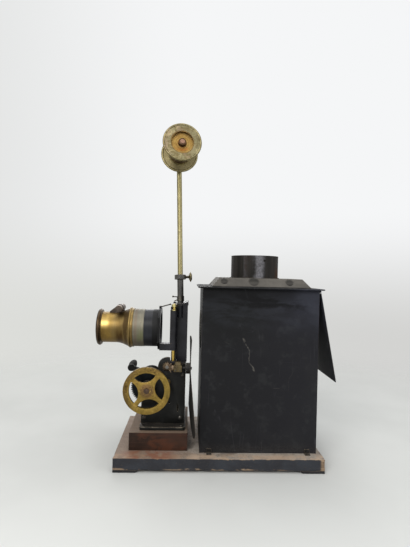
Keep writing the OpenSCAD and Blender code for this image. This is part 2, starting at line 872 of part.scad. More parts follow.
module shutter_blade() {
  color("#303030")
    translate([blade_x, shutter_y, beater_z]) difference() {
      union() {
        across(0, 1.6) circle(r = 13);
        translate([0.8 - blade_t / 2, 0, 0]) {
          rotate([0, -blade_lean, 0]) rotate([0, 0, blade_twist]) across(0, blade_t)
            sector(blade_r, blade_angle);
          rotate([180, 0, 0]) rotate([0, 0, -small_blade_twist]) across(0, blade_t)
            sector(small_blade_r, small_blade_angle);
        }
      }
      rod_x(0, 0, -2, 4, shutter_shaft_r);
    }
}

module exit_roller() {
  color("gainsboro")
    difference() {
      rod_y(exit_x, exit_z, -film_w / 2, film_w / 2, exit_roller_r);
      rod_y(exit_x, exit_z, -film_w, film_w, exit_rod_r + run_fit);
    }
}

module lens_carrier() {
  color("#1c1c1c")
    difference() {
      union() {
        across(carrier_x0, carrier_x1) translate([0, axis_z]) intersection() {
          circle(r = carrier_half + 5);
          square(2 * carrier_half, center = true);
        }
        rod_y(latch_x, latch_z, -3.2, 3.2, latch_pin_r);
        for (s = [-1, 1])
          block(carrier_x0, carrier_x1, s * 2.6 - 0.8, s * 2.6 + 0.8, axis_z + carrier_half - 1, latch_z + 1.4);
        block(carrier_x1, pin_x, pin_y - 3.5, pin_y + 3.5, sleeve_z0, sleeve_z0 + 9.5);
        block(carrier_x1, door_x0, pin_y, 12, sleeve_z0, sleeve_z0 + 4);
        block(door_x0, pin_x - 2.5, pin_y - 3, -cheek_out - 0.7, sleeve_z0, sleeve_z1);
        rod_z(pin_x, pin_y, sleeve_z0, sleeve_z1, hinge_sleeve_r);
      }
      rod_z(pin_x, pin_y, sleeve_z0 - 1, sleeve_z1 + 1, hinge_pin_r + run_fit);
      rod_x(0, axis_z, carrier_x0 - 1, carrier_x1 + 1, sleeve_r - 5);
    }
}

module gate_door() {
  color("#262626")
    difference() {
      block(door_x0, door_x0 + door_t, -cheek_out - 0.7, cheek_out, door_z0, door_z1);
      block(door_x0 - 1, door_x0 + door_t + 1, -window_w / 2 - 2, window_w / 2 + 2,
        axis_z - window_h / 2 - 2, axis_z + window_h / 2 + 2);
      block(door_x0 - 1, door_x0 + door_t + 1, -cheek_out - 2, 12, door_z0 - 1, sleeve_z0 + 4);
      for (p = guide_pins())
        rod_x(p.x, p.y, door_x0 - 1, door_x0 + door_t + 1, guide_pin_r + run_fit);
    }
}

// Centres of the pressure frame's four guide pins, across and up
function guide_pins() = [for (y = [-1, 1], z = [-1, 1]) [y * (film_w / 2 - 2.6), axis_z + z * 22]];

module pressure_frame() {
  half = film_w / 2 - 0.6;
  color("silver") {
    difference() {
      block(film_x - 1.4, film_x - 0.4, -half, half, door_z0 + 3, door_z1 - 3);
      block(film_x - 3, film_x + 1, -window_w / 2 - 0.5, window_w / 2 + 0.5,
        axis_z - window_h / 2 - 0.5, axis_z + window_h / 2 + 0.5);
    }
    for (p = guide_pins())
      rod_x(p.x, p.y, door_x0 - 0.8, film_x - 1, guide_pin_r);
  }
}

// Wire stay that pivots on the lens carrier and bears on the top of the gate door
module door_latch() {
  dx = door_x0 - 1.6 - latch_x;
  dz = gate_z1 - 2.5 - latch_z;
  color("gainsboro")
    translate([latch_x, 0, latch_z]) {
      difference() {
        rod_y(0, 0, -1.6, 1.6, 1.8);
        rod_y(0, 0, -2, 2, latch_pin_r + run_fit);
      }
      rotate([0, atan2(dx, dz), 0]) translate([0, 0, 1.5]) cylinder(h = norm([dx, dz]) - 1.5, r = 0.9);
      translate([dx, 0, dz]) sphere(r = 1.3);
    }
}

module black_tube() {
  color("#202020")
    difference() {
      rod_x(0, axis_z, black_x0, carrier_x0, sleeve_r - 0.3);
      rod_x(0, axis_z, black_x0 - 1, carrier_x0 + 1, sleeve_r - 1.8);
    }
}

module zinc_sleeve() {
  color("darkgray")
    difference() {
      rod_x(0, axis_z, zinc_x0, black_x0, sleeve_r);
      rod_x(0, axis_z, zinc_x0 - 1, black_x0 + 1, sleeve_r - 1.2);
    }
}

// Outside radius of the flare at distance t from its narrow end
function flare(t, r0, r1) = r0 + (r1 - r0) * (1 - cos(90 * t / flare_l));

module jacket_outside() {
  turned_x(0, axis_z) polygon(concat(
    [[0, jacket_x0], [jacket_r, jacket_x0]],
    [for (i = [0 : 8])
      [flare(flare_l * i / 8, jacket_r, jacket_ring_r - 1.6), flare_x1 - flare_l + flare_l * i / 8]],
    [for (a = [-60 : 20 : 60]) [jacket_ring_r - 2 + 2 * cos(a), flare_x1 + 2 + 2 * sin(a)]],
    [[jacket_ring_r - 1.4, flare_x1 + 4], [jacket_ring_r - 1.4, zinc_x0], [0, zinc_x0]]
  ));
}

module lens_jacket() {
  color("goldenrod")
    difference() {
      jacket_outside();
      turned_x(0, axis_z) polygon(concat(
        [[0, jacket_x0 - 1], [jacket_in, jacket_x0 - 1]],
        [for (i = [0 : 8])
          [flare(flare_l * i / 8, jacket_in, jacket_ring_r - 4.4), flare_x1 - flare_l + 2 + flare_l * i / 8]],
        [[jacket_ring_r - 4.2, zinc_x0 + 1], [0, zinc_x0 + 1]]
      ));
      block(rack_x0 - focus_travel - 1, flare_x1 + 1.5, -rack_half - 0.4, rack_half + 0.4,
        axis_z, axis_z + rack_pitch_h + 1);
    }
}

module pinion_box() {
  r = pinion_r + 1.7;
  foot = jacket_r - rack_pitch_h - pinion_r;
  color("darkgoldenrod")
    difference() {
      union() {
        rod_y(focus_x, focus_z, -6.3, 6.3, r);
        translate([focus_x, 0, focus_z]) slab(-6, 6)
          polygon([[-15, foot - 2], [-15, foot + 1.2], [-0.6 * r, 0.7 * r], [r - 0.3, 0], [r - 0.3, foot - 2]]);
      }
      jacket_outside();
      rod_y(focus_x, focus_z, -3.4, 3.4, pinion_r + 0.7);
      block(focus_x - 20, focus_x + 8, -rack_half - 0.4, rack_half + 0.4, axis_z, axis_z + rack_pitch_h + 1);
      rod_y(focus_x, focus_z, -7, 7, focus_shaft_r + run_fit);
    }
}

module lens_tube() {
  x0 = jacket_x0 - gap - 6.4;
  x1 = rack_x1;
  f = front_flange_r;
  color("goldenrod") {
    turned_x(0, axis_z) polygon([
      [tube_r - tube_wall, x0 + 1], [f - 3.4, x0], [f - 1, x0 + 0.6], [f, x0 + 2.2], [f, x0 + 3.4],
      [f - 1.4, x0 + 5], [f - 3.6, x0 + 5.4], [f - 3.6, x0 + 6.4],
      [tube_r, x0 + 6.4], [tube_r, x1], [tube_r - tube_wall, x1]
    ]);
    rack_z0 = axis_z + sqrt(pow(tube_r, 2) - pow(rack_half, 2)) - 0.3;
    pitch = PI * rack_mod;
    rack_z = axis_z + rack_pitch_h;
    half = pitch / 4 * 0.84;
    slope = tan(20);
    slab(-rack_half, rack_half) {
      translate([rack_x0, rack_z0]) square([rack_x1 - rack_x0, rack_z - 1.2 * rack_mod - rack_z0]);
      for (i = [ceil((rack_x0 - focus_x) / pitch + 0.3) : floor((rack_x1 - focus_x) / pitch - 0.3)])
        translate([focus_x + i * pitch, rack_z]) polygon([
          [-half - 1.3 * rack_mod * slope, -1.3 * rack_mod], [-half + 0.8 * rack_mod * slope, 0.8 * rack_mod],
          [half - 0.8 * rack_mod * slope, 0.8 * rack_mod], [half + 1.3 * rack_mod * slope, -1.3 * rack_mod]
        ]);
    }
  }
}

// Lens with a bulge on each side, its edge from x0 to x0 + t
module glass(x0, t, r, bulge0, bulge1) {
  turned_x(0, axis_z) polygon(concat(
    [for (i = [0 : 8]) [r * i / 8, x0 - bulge0 * (1 - pow(i / 8, 2))]],
    [for (i = [8 : -1 : 0]) [r * i / 8, x0 + t + bulge1 * (1 - pow(i / 8, 2))]]
  ));
}

module lens_glasses() {
  r = tube_r - tube_wall;
  color("lightblue") {
    glass(jacket_x0 - 1, 3, r, 3.4, 1.6);
    glass(rack_x1 - 4, 3, r, 1.4, 2.4);
  }
}

module focus_pinion() {
  color("saddlebrown") {
    rod_y(focus_x, focus_z, -knob_y0 - knob_l, knob_y0 + knob_l, focus_shaft_r);
    translate([focus_x, 0, focus_z]) slab(-3, 3)
      rotate(-90 + 180 / rack_teeth) gear(rack_teeth, rack_mod, add = 0.8, ded = 1.2, thin = 0.84);
    for (s = [-1, 1])
      translate([focus_x, s * (knob_y0 + knob_l / 2), focus_z]) rotate([90, 0, 0]) rotate_extrude() polygon([
        [0, -knob_l / 2], [focus_knob_r - 0.8, -knob_l / 2], [focus_knob_r, -knob_l / 2 + 0.8],
        [focus_knob_r, knob_l / 2 - 0.8], [focus_knob_r - 0.8, knob_l / 2], [0, knob_l / 2]
      ]);
  }
}

module clamp_collar() {
  color("#2a2a2a")
    arm_frame() difference() {
      translate([0, 0, socket_l + gap]) cylinder(h = collar_h, r = collar_r);
      translate([0, 0, socket_l]) cylinder(h = collar_h + 1, r = rod_r + run_fit);
      translate([0, 0, socket_l + gap + collar_h / 2]) rotate([0, 90, 0])
        cylinder(h = collar_r + 1, r = 1.9 + run_fit);
    }
}

module clamp_screw() {
  color("goldenrod")
    arm_frame() translate([0, 0, socket_l + gap + collar_h / 2]) rotate([0, 90, 0]) {
      translate([0, 0, rod_r + 0.4]) cylinder(h = collar_r + 7 - rod_r, r = 1.9);
      translate([0, 0, collar_r + 4]) cylinder(h = 2.4, r1 = 2.6, r2 = clamp_disc_r);
      translate([0, 0, collar_r + 6.4]) cylinder(h = 0.8, r = clamp_disc_r);
      translate([0, 0, collar_r + 7.2]) cylinder(h = 2, r1 = clamp_disc_r, r2 = 3.4);
    }
}

module reel_rod() {
  color("goldenrod") {
    arm_frame() cylinder(h = arm_l - 4, r = rod_r);
    reel_frame() {
      translate([0, 0, -5]) cylinder(h = reel_s0 - 0.4 + 5, r = rod_r + 1.7);
      cylinder(h = reel_s0 + reel_w + 1.2, r = spindle_r);
      translate([0, 0, reel_s0 + reel_w - 2.2]) cylinder(h = 2.4, r = spindle_r + 2.4);
    }
  }
}

// One reel cheek: a rolled rim, a flat ring and a cup that reaches the spindle
module cheek() {
  cup = 5;
  rotate_extrude() polygon(concat(
    [[spindle_r + run_fit, cup], [spindle_r + run_fit, cup + 1.6], [reel_core_r, cup + 1.6]],
    [[reel_core_r, 2.6], [reel_r - 3.5, 2.6]],
    [for (a = [150 : -30 : -150]) [reel_r - 1.8 + 1.8 * cos(a), 1.8 + 1.8 * sin(a)]],
    [[reel_r - 3.5, 0.8], [reel_core_r - 1, 0.8], [reel_core_r - 1, cup]]
  ));
}

module reel_cheeks() {
  color("goldenrod")
    reel_frame() {
      translate([0, 0, reel_s0]) cheek();
      translate([0, 0, reel_s0 + reel_w]) mirror([0, 0, 1]) cheek();
    }
}

module reel_core() {
  color("darkgoldenrod")
    reel_frame() difference() {
      translate([0, 0, reel_s0 + 6.6]) cylinder(h = reel_w - 13.2, r = reel_core_r);
      translate([0, 0, reel_s0]) cylinder(h = reel_w, r = reel_core_r - 1.2);
    }
}

module house_sides() {
  color("#242424")
    for (s = [-1, 1])
      block(house_x0, house_x1, s < 0 ? -house_y : house_y - sheet, s < 0 ? sheet - house_y : house_y,
        deck, house_z1);
}

module house_front() {
  color("#242424")
    difference() {
      block(house_x0, house_x0 + sheet, sheet - house_y, house_y - sheet, deck, house_z1);
      rod_x(0, axis_z, house_x0 - 1, house_x0 + 2, condenser_r + 1.5);
    }
}

module house_rear() {
  color("#242424") {
    difference() {
      block(house_x1 - sheet, house_x1, sheet - house_y, house_y - sheet, deck, house_z1);
      block(house_x1 - 2, house_x1 + 1, -rear_half, rear_half, rear_z0, rear_z1);
    }
    rod_y(flap_hinge_x, flap_hinge_z, -house_y + 2, house_y - 2, 0.8);
    for (y = [2 - house_y, house_y - 12])
      difference() {
        union() {
          rod_y(flap_hinge_x, flap_hinge_z, y, y + 10, 1.5);
          block(house_x1, flap_hinge_x, y, y + 10, flap_hinge_z - 1.5, flap_hinge_z);
        }
        rod_y(flap_hinge_x, flap_hinge_z, -house_y, house_y, 0.8);
      }
  }
}

module rear_flap() {
  half = house_y - 0.5;
  color("#242424")
    translate([flap_hinge_x, 0, flap_hinge_z]) rotate([0, -flap_open, 0]) difference() {
      union() {
        block(-0.2, sheet - 0.2, -half, half, -flap_l, -2.2);
        block(-0.2, sheet - 0.2, -house_y + 13, house_y - 13, -3, 0);
        rod_y(0, 0, -house_y + 13, house_y - 13, 1.5);
      }
      rod_y(0, 0, -house_y, house_y, 0.8 + run_fit);
    }
}

module condenser_cell() {
  x0 = house_x0 - cell_proud;
  x1 = house_x0 + 17;
  color("#2c2c2c")
    difference() {
      union() {
        rod_x(0, axis_z, x0, x1, condenser_r + 1.5);
        rod_x(0, axis_z, house_x0 + sheet, house_x0 + sheet + 2, condenser_r + 6);
      }
      rod_x(0, axis_z, x0 - 1, x0 + 1.5, condenser_r - 2);
      rod_x(0, axis_z, x0 + 1.2, x1 + 1, condenser_r);
    }
}

module condenser_lenses() {
  x0 = house_x0 - cell_proud + 1.2;
  color("lightblue") {
    glass(x0, 2, condenser_r, 0, 6);
    glass(x0 + 14, 2, condenser_r, 5.6, 0);
  }
}

module hood_solid(grow) {
  x0 = house_x0 - lip + hood_inset + hood_shift + grow;
  x1 = house_x1 + lip - hood_inset + hood_shift - grow;
  y = house_y + lip - hood_inset - grow;
  hull() {
    block(x0, x1, -y, y, roof_z0 - grow - eps, roof_z0 - grow);
    block(x0 + hood_run, x1 - hood_run, -y + hood_run, y - hood_run, roof_z1 - grow - eps, roof_z1 - grow);
  }
}

module roof() {
  l = lip;
  slope = atan2(hood_h, hood_run);
  // Place of the pressed dimples up the slope, as a share of the hood's height
  up = 0.6;
  color("dimgray") {
    difference() {
      union() {
        block(house_x0 - l, house_x1 + l, -house_y - l, house_y + l, house_z1 + 0.1, roof_z0);
        hood_solid(0);
      }
      hood_solid(sheet);
      block(house_x0 - l + hood_inset + hood_shift + sheet, house_x1 + l - hood_inset + hood_shift - sheet,
        sheet + hood_inset - l - house_y, house_y + l - hood_inset - sheet, house_z1, roof_z0 - sheet + eps);
      rod_z(chimney_x, 0, roof_z1 - 3, roof_z1 + 1, chimney_r - sheet - 1.2);
    }
    for (d = [[-49, 5], [-7.5, 7], [43, 5.5]], s = [-1, 1])
      translate([chimney_x + d[0], s * (house_y + lip - hood_inset - hood_run * up), roof_z0 + hood_h * up])
        rotate([-s * slope, 0, 0]) intersection() {
          translate([0, 0, dimple_h - (d[1] * d[1] + dimple_h * dimple_h) / (2 * dimple_h)])
            sphere(r = (d[1] * d[1] + dimple_h * dimple_h) / (2 * dimple_h));
          cylinder(h = 4, r = d[1] + 1);
        }
    for (y = [-1, 1])
      block(house_x0 + sheet + 0.4, house_x1 - sheet - 0.4,
        y * (house_y - sheet - 0.8) - 0.4, y * (house_y - sheet - 0.8) + 0.4, house_z1 - 3, house_z1 + 0.1);
  }
}

module chimney_collar() {
  color("#303030")
    difference() {
      union() {
        rod_z(chimney_x, 0, roof_z1, roof_z1 + chimney_h, chimney_r);
        rod_z(chimney_x, 0, roof_z1, roof_z1 + 1, chimney_r + 1.6);
      }
      rod_z(chimney_x, 0, roof_z1 - 1, roof_z1 + chimney_h + 1, chimney_r - sheet);
      rod_y(chimney_x + 9, roof_z1 + chimney_h - 7, -chimney_r - 3, 0, 1.6);
    }
}

module lamp_tank() {
  r = tank_r;
  color("darkgoldenrod") {
    translate([lamp_x, 0, 0]) rotate_extrude() polygon(concat(
      [[0, lamp_z0], [r, lamp_z0], [r, lamp_z0 + 2]],
      [for (a = [0 : 15 : 90]) [r - 1 - 7 * (1 - cos(a)), tank_z1 - 7 + 7 * sin(a)]],
      [[7, tank_z1 + 2], [5, tank_z1 + 8], [5, burner_z - 6], [8, burner_z - 1], [8, burner_z], [0, burner_z]]
    ));
    rod_z(lamp_x - r * 0.55, 0, tank_z1 - 0.5, tank_z1 + 4, 5);
    block(lamp_x + r * 0.5, reflector_x, -6, 6, lamp_z0 + 0.2, lamp_z0 + 1.6);
  }
}

module lamp_burner() {
  color("goldenrod")
    difference() {
      union() {
        rod_z(lamp_x, 0, burner_z, glass_z0, 11);
        rod_z(lamp_x, 0, glass_z0, glass_z0 + 1.4, glass_r - 4);
        rod_z(lamp_x, 0, glass_z0, glass_z0 + 9, 4);
        block(lamp_x - 1.2, lamp_x + 1.2, -6.5, 6.5, glass_z0, glass_z0 + 13);
      }
      rod_y(lamp_x, burner_z + 4.5, 6, 12, 1.25);
    }
}

module wick_knob() {
  color("goldenrod") {
    rod_y(lamp_x, burner_z + 4.5, 7, 33, 1.2);
    rod_y(lamp_x, burner_z + 4.5, 33, 35.5, 6);
  }
}

module lamp_glass() {
  z = glass_z0 + 1.6;
  foot_r = glass_r - 5;
  h = glass_z1 - z;
  // Radius of the glass at share t of its height: a bulge round the flame, then a slim chimney
  function wall(t) = foot_r + (glass_r - foot_r) * exp(-pow((t - 0.27) / 0.14, 2)) - 3.6 * t;
  color("lightcyan")
    translate([lamp_x, 0, 0]) rotate_extrude() polygon(concat(
      [for (i = [0 : 20]) [wall(i / 20), z + h * i / 20]],
      [for (i = [20 : -1 : 0]) [wall(i / 20) - 1.2, z + h * i / 20]]
    ));
}

module reflector() {
  r = reflector_r;
  x = reflector_x;
  d = reflector_dish;
  color("gainsboro") {
    turned_x(0, axis_z) polygon(concat(
      [for (i = [0 : 10]) [r * i / 10, x - d * pow(i / 10, 2)]],
      [for (i = [10 : -1 : 0]) [r * i / 10, x + 0.8 - d * pow(i / 10, 2)]]
    ));
    block(x - d, x - d + 1.2, -4, 4, lamp_z0 + 1.6, axis_z - r + 1.2);
  }
}

baseboard();
battens();
plinth();
foot_flange();
frame_screws();
side_plate_near();
side_plate_far();
frame_pillars();
shaft_bushes();
gate_bridge();
gate_casting();
aperture_plate();
film_guide_wires();
hinge_pin();
bearing_block();
arm_socket();
main_shaft();
hand_wheel();
main_gear();
crank_arm();
crank_grip();
sprocket_shaft();
feed_sprocket();
sprocket_large_gear();
beater_crank();
beater_roller();
beater_bevel();
shutter_shaft();
shutter_bevel();
shutter_blade();
exit_roller();
lens_carrier();
gate_door();
pressure_frame();
door_latch();
black_tube();
zinc_sleeve();
lens_jacket();
pinion_box();
lens_tube();
lens_glasses();
focus_pinion();
clamp_collar();
clamp_screw();
reel_rod();
reel_cheeks();
reel_core();
house_sides();
house_front();
house_rear();
rear_flap();
condenser_cell();
condenser_lenses();
roof();
chimney_collar();
lamp_tank();
lamp_burner();
wick_knob();
lamp_glass();
reflector();
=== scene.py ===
# %% [markdown]
# # A hand-cranked film projector, dressed in Blender
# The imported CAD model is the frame: every solid already sits where it belongs. This script
# gives each of them the finish of the real thing, which has stood in a dusty room for a
# century, and builds finer versions of the pieces whose edges and teeth a plain solid can't show.

# %% Load the frame
import json
import math
import bpy
import bmesh
from mathutils import Matrix, Vector, noise
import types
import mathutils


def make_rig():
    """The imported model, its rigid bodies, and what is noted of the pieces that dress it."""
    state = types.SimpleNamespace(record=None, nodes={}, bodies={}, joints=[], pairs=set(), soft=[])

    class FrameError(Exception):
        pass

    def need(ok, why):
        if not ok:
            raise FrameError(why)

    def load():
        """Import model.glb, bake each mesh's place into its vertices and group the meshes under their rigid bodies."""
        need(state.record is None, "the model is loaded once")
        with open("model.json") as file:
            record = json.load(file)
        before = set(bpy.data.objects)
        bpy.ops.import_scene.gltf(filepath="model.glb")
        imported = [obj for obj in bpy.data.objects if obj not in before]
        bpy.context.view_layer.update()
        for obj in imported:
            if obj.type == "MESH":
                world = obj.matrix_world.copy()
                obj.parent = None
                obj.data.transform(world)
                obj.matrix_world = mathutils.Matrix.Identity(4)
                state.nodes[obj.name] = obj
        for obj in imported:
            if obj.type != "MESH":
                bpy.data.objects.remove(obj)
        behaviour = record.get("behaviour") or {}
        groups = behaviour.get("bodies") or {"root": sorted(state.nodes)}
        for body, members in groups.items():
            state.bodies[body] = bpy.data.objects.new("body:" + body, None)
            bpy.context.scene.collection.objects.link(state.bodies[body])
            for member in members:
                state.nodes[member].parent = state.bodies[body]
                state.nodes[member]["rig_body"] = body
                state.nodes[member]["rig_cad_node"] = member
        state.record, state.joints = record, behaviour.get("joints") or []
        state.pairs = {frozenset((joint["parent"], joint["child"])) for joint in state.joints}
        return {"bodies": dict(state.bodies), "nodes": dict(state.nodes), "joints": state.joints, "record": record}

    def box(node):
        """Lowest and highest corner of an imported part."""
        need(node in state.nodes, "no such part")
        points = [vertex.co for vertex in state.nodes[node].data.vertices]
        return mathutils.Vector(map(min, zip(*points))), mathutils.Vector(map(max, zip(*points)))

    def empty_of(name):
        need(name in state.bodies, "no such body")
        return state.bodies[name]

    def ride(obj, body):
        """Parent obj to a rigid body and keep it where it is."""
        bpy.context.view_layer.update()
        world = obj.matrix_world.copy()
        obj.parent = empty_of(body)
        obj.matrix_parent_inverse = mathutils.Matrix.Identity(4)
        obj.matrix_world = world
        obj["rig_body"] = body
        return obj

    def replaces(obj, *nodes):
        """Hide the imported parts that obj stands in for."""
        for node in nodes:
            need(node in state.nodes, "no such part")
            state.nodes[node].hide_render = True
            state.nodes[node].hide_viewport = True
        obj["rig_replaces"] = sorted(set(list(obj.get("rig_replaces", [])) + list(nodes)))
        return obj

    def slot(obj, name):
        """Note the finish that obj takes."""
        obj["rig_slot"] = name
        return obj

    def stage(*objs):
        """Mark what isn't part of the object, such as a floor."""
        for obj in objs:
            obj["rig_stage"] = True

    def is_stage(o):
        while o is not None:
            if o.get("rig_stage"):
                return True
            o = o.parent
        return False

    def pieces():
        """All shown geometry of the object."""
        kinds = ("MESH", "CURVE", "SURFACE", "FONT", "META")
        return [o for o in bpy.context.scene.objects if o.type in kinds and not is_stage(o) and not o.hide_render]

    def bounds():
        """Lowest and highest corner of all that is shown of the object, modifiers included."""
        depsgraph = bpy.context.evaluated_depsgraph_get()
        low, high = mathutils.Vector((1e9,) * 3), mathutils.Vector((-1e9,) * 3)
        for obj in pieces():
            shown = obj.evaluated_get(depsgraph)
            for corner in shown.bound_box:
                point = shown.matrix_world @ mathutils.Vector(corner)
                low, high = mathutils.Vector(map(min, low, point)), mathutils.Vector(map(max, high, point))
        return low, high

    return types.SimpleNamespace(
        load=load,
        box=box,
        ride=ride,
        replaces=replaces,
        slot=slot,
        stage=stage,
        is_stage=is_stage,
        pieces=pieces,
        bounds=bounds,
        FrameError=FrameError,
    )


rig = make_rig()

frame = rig.load()
cad_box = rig.bounds()
nodes = frame["nodes"]


def add_object(name, data):
    obj = bpy.data.objects.new(name, data)
    bpy.context.scene.collection.objects.link(obj)
    return obj

print("nodes:", len(nodes), "bodies:", len(frame["bodies"]))

# %% [markdown]
# ## Camera
# The picture was taken from a little in front of the wheel side, at the height of the lamphouse
# roof, with a wide lens. Its place, turn and angle of view were solved from the edges of the
# board, plinth, lamphouse and roof, so the camera is set from those numbers instead of by eye.

# %% Place the camera
IMAGE_H = 547
FOCAL_PX = 411
YAW, PITCH, ROLL = (math.radians(a) for a in (2.209, 0.048, 1.404))
EYE = Vector((-0.04632, -0.61789, 0.26134))

ahead = Vector((math.sin(YAW) * math.cos(PITCH), math.cos(YAW) * math.cos(PITCH), math.sin(PITCH)))
right = Vector((math.cos(YAW), -math.sin(YAW), 0))
above = right.cross(ahead)
right, above = (
    math.cos(ROLL) * right + math.sin(ROLL) * above,
    math.cos(ROLL) * above - math.sin(ROLL) * right,
)
camera_data = bpy.data.cameras.new("camera")
camera_data.sensor_width = 36
camera_data.lens = camera_data.sensor_width * FOCAL_PX / IMAGE_H
camera_data.clip_start = 0.01
camera = add_object("camera", camera_data)
camera.matrix_world = Matrix.Translation(EYE) @ Matrix((right, above, -ahead)).transposed().to_4x4()
bpy.context.scene.camera = camera
print("lens mm:", round(camera_data.lens, 2))

# %% [markdown]
# ## Shader maths
# A finish is mostly arithmetic on masks: dust where the surface faces up, bare metal where an
# edge is rubbed. As nodes that is hard to read, so one small class lets a socket be used in an
# ordinary expression. A second class holds the nodes, for materials, world and geometry alike.

# %% A socket that can be used in sums
class Value:
    def __init__(self, owner, socket):
        self.owner, self.socket = owner, socket

    def _math(self, operation, first, second=0.0):
        return self.owner.node("ShaderNodeMath", {"operation": operation}, {0: first, 1: second})

    def __add__(self, other): return self._math("ADD", self, other)
    def __radd__(self, other): return self._math("ADD", other, self)
    def __sub__(self, other): return self._math("SUBTRACT", self, other)
    def __rsub__(self, other): return self._math("SUBTRACT", other, self)
    def __mul__(self, other): return self._math("MULTIPLY", self, other)
    def __rmul__(self, other): return self._math("MULTIPLY", other, self)
    def __truediv__(self, other): return self._math("DIVIDE", self, other)
    def __mod__(self, other): return self._math("MODULO", self, other)
    def __gt__(self, other): return self._math("GREATER_THAN", self, other)
    def __abs__(self): return self._math("ABSOLUTE", self)
    def sine(self): return self._math("SINE", self)

    def between(self, low, high):
        """0 below low, 1 above high and a smooth step in between."""
        flip = low > high
        ends = {1: min(low, high), 2: max(low, high), 3: 1.0 if flip else 0.0, 4: 0.0 if flip else 1.0}
        return self.owner.node("ShaderNodeMapRange", {"interpolation_type": "SMOOTHSTEP"}, {0: self, **ends})

    def stirred(self, noise, amount):
        """The value moved to and fro by a noise, so that an edge at a set place is ragged."""
        return self + (noise - 0.5) * amount

# %% A tree of nodes with its one way of adding a node, and a material
def ink(code):
    """A screen colour such as #8a6a3c as the linear colour that a shader takes."""
    parts = [int(code[i:i + 2], 16) / 255 for i in (1, 3, 5)]
    return [p / 12.92 if p <= 0.04045 else ((p + 0.055) / 1.055) ** 2.4 for p in parts] + [1.0]

class Nodes:
    def node(self, kind, settings=None, inputs=None, out=0):
        made = self.tree.nodes.new(kind)
        for key, setting in (settings or {}).items():
            setattr(made, key, setting)
        for key, value in (inputs or {}).items():
            self.feed(made.inputs[key], value)
        return Value(self, made.outputs[out])

    def feed(self, socket, value):
        if isinstance(value, Value):
            self.tree.links.new(value.socket, socket)
        else:
            is_colour = isinstance(value, str) and value.startswith("#")
            socket.default_value = ink(value) if is_colour else value

    def find_place(self, kind):
        self.place = self.node("ShaderNodeTexCoord", out=kind)
        self.x, self.y, self.z = (self.part(self.place, axis) for axis in range(3))

    def part(self, vector, axis):
        return self.node("ShaderNodeSeparateXYZ", None, {0: vector}, out=axis)

    def vector_sum(self, operation, first, second=None, out="Value"):
        inputs = {0: first} if second is None else {0: first, 1: second}
        return self.node("ShaderNodeVectorMath", {"operation": operation}, inputs, out)

finishes = {}

class Finish(Nodes):
    def __init__(self, name):
        self.material = bpy.data.materials.new(name)
        self.material.use_nodes = True
        finishes[name] = self.material
        self.tree = self.material.node_tree
        self.shader = self.tree.nodes["Principled BSDF"]
        self.find_place("Object")
        self.rise = self.part(self.node("ShaderNodeTexCoord", out="Normal"), 2)

    def paint(self, mask, colour):
        """Lays a colour over the base colour where the mask is 1."""
        self.base = mix(self, mask, self.base, colour)

    def cover(self, mask, shader):
        """Lays another shader over the whole finish where the mask is 1."""
        below = Value(self, self.shader.outputs[0])
        both = self.node("ShaderNodeMixShader", None, {0: mask, 1: below, 2: shader})
        self.tree.links.new(both.socket, self.tree.nodes["Material Output"].inputs["Surface"])

    def set(self, **values):
        for key, value in {"Base_Color": self.base, **values}.items():
            self.feed(self.shader.inputs[key.replace("_", " ")], value)

# %% [markdown]
# ## Words for patterns
# These are the few patterns that all the finishes below are made of. They read Object
# coordinates, in metres, so a noise of scale 200 has grains of about 5 mm on every piece.

# %% Patterns
def mix(f, mask, first, second):
    return f.node("ShaderNodeMix", {"data_type": "RGBA"}, {0: mask, 6: first, 7: second}, out=2)

def grain(f, scale, detail=4.0, rough=0.55, warp=0.0, place=(0, 0, 0), turn=(0, 0, 0)):
    """A cloudy noise from 0 to 1. Three scales instead of one stretch it into streaks."""
    vector = f.place
    if isinstance(scale, tuple):
        moved = {"Vector": vector, "Location": place, "Rotation": turn, "Scale": scale}
        vector, scale = f.node("ShaderNodeMapping", None, moved), 1.0
    sockets = {"Vector": vector, "Scale": scale, "Detail": detail, "Roughness": rough, "Distortion": warp}
    return f.node("ShaderNodeTexNoise", None, sockets)

def rubbed_edge(f, radius=0.0007):
    """1 on a sharp edge and 0 on the flat, from how far a rounded normal leaves the true one."""
    rounded = f.node("ShaderNodeBevel", {"samples": 4}, {"Radius": radius})
    true = f.node("ShaderNodeNewGeometry", out="True Normal")
    return (1.0 - f.vector_sum("DOT_PRODUCT", rounded, true)).between(0.02, 0.25)

def corner_dirt(f, reach=0.004):
    return 1.0 - f.node("ShaderNodeAmbientOcclusion", {"samples": 4}, {"Distance": reach}, out="AO")

def bump(f, height, distance, strength=1.0, rounded=0.0004):
    edge = f.node("ShaderNodeBevel", {"samples": 4}, {"Radius": rounded})
    inputs = {"Strength": strength, "Distance": distance, "Height": height, "Normal": edge}
    return f.node("ShaderNodeBump", None, inputs)

def about(f, centre, axis=(0, 1, 0)):
    """How far a point is from an axis, and how far along it, both in metres."""
    off = f.vector_sum("SUBTRACT", f.place, centre, 0)
    side = f.vector_sum("CROSS_PRODUCT", off, axis, 0)
    return f.vector_sum("LENGTH", side), f.vector_sum("DOT_PRODUCT", off, axis)

def band(value, low, high, soft=0.0006):
    """1 between low and high, with soft edges."""
    return value.between(low - soft, low + soft) * value.between(high + soft, high - soft)

def scratch(f, scale, turn, width=0.012, place=(0, 0, 0)):
    """Long thin marks: where a stretched noise passes through its middle value."""
    line = abs(grain(f, scale, 1.0, 0.4, 0.0, place, turn) - 0.5).between(width, 0.0)
    return line * grain(f, 22.0, 2.0, 0.5).between(0.52, 0.66)

print("patterns ready")

# %% [markdown]
# ## Black japan
# Most of the iron is stove-black: a thin black varnish, softly glossy, which dust dulls on top
# and handling wears to brown-grey metal at the edges. One recipe makes the gate, the plates,
# the arm and the shutter, with other amounts of dust and wear.

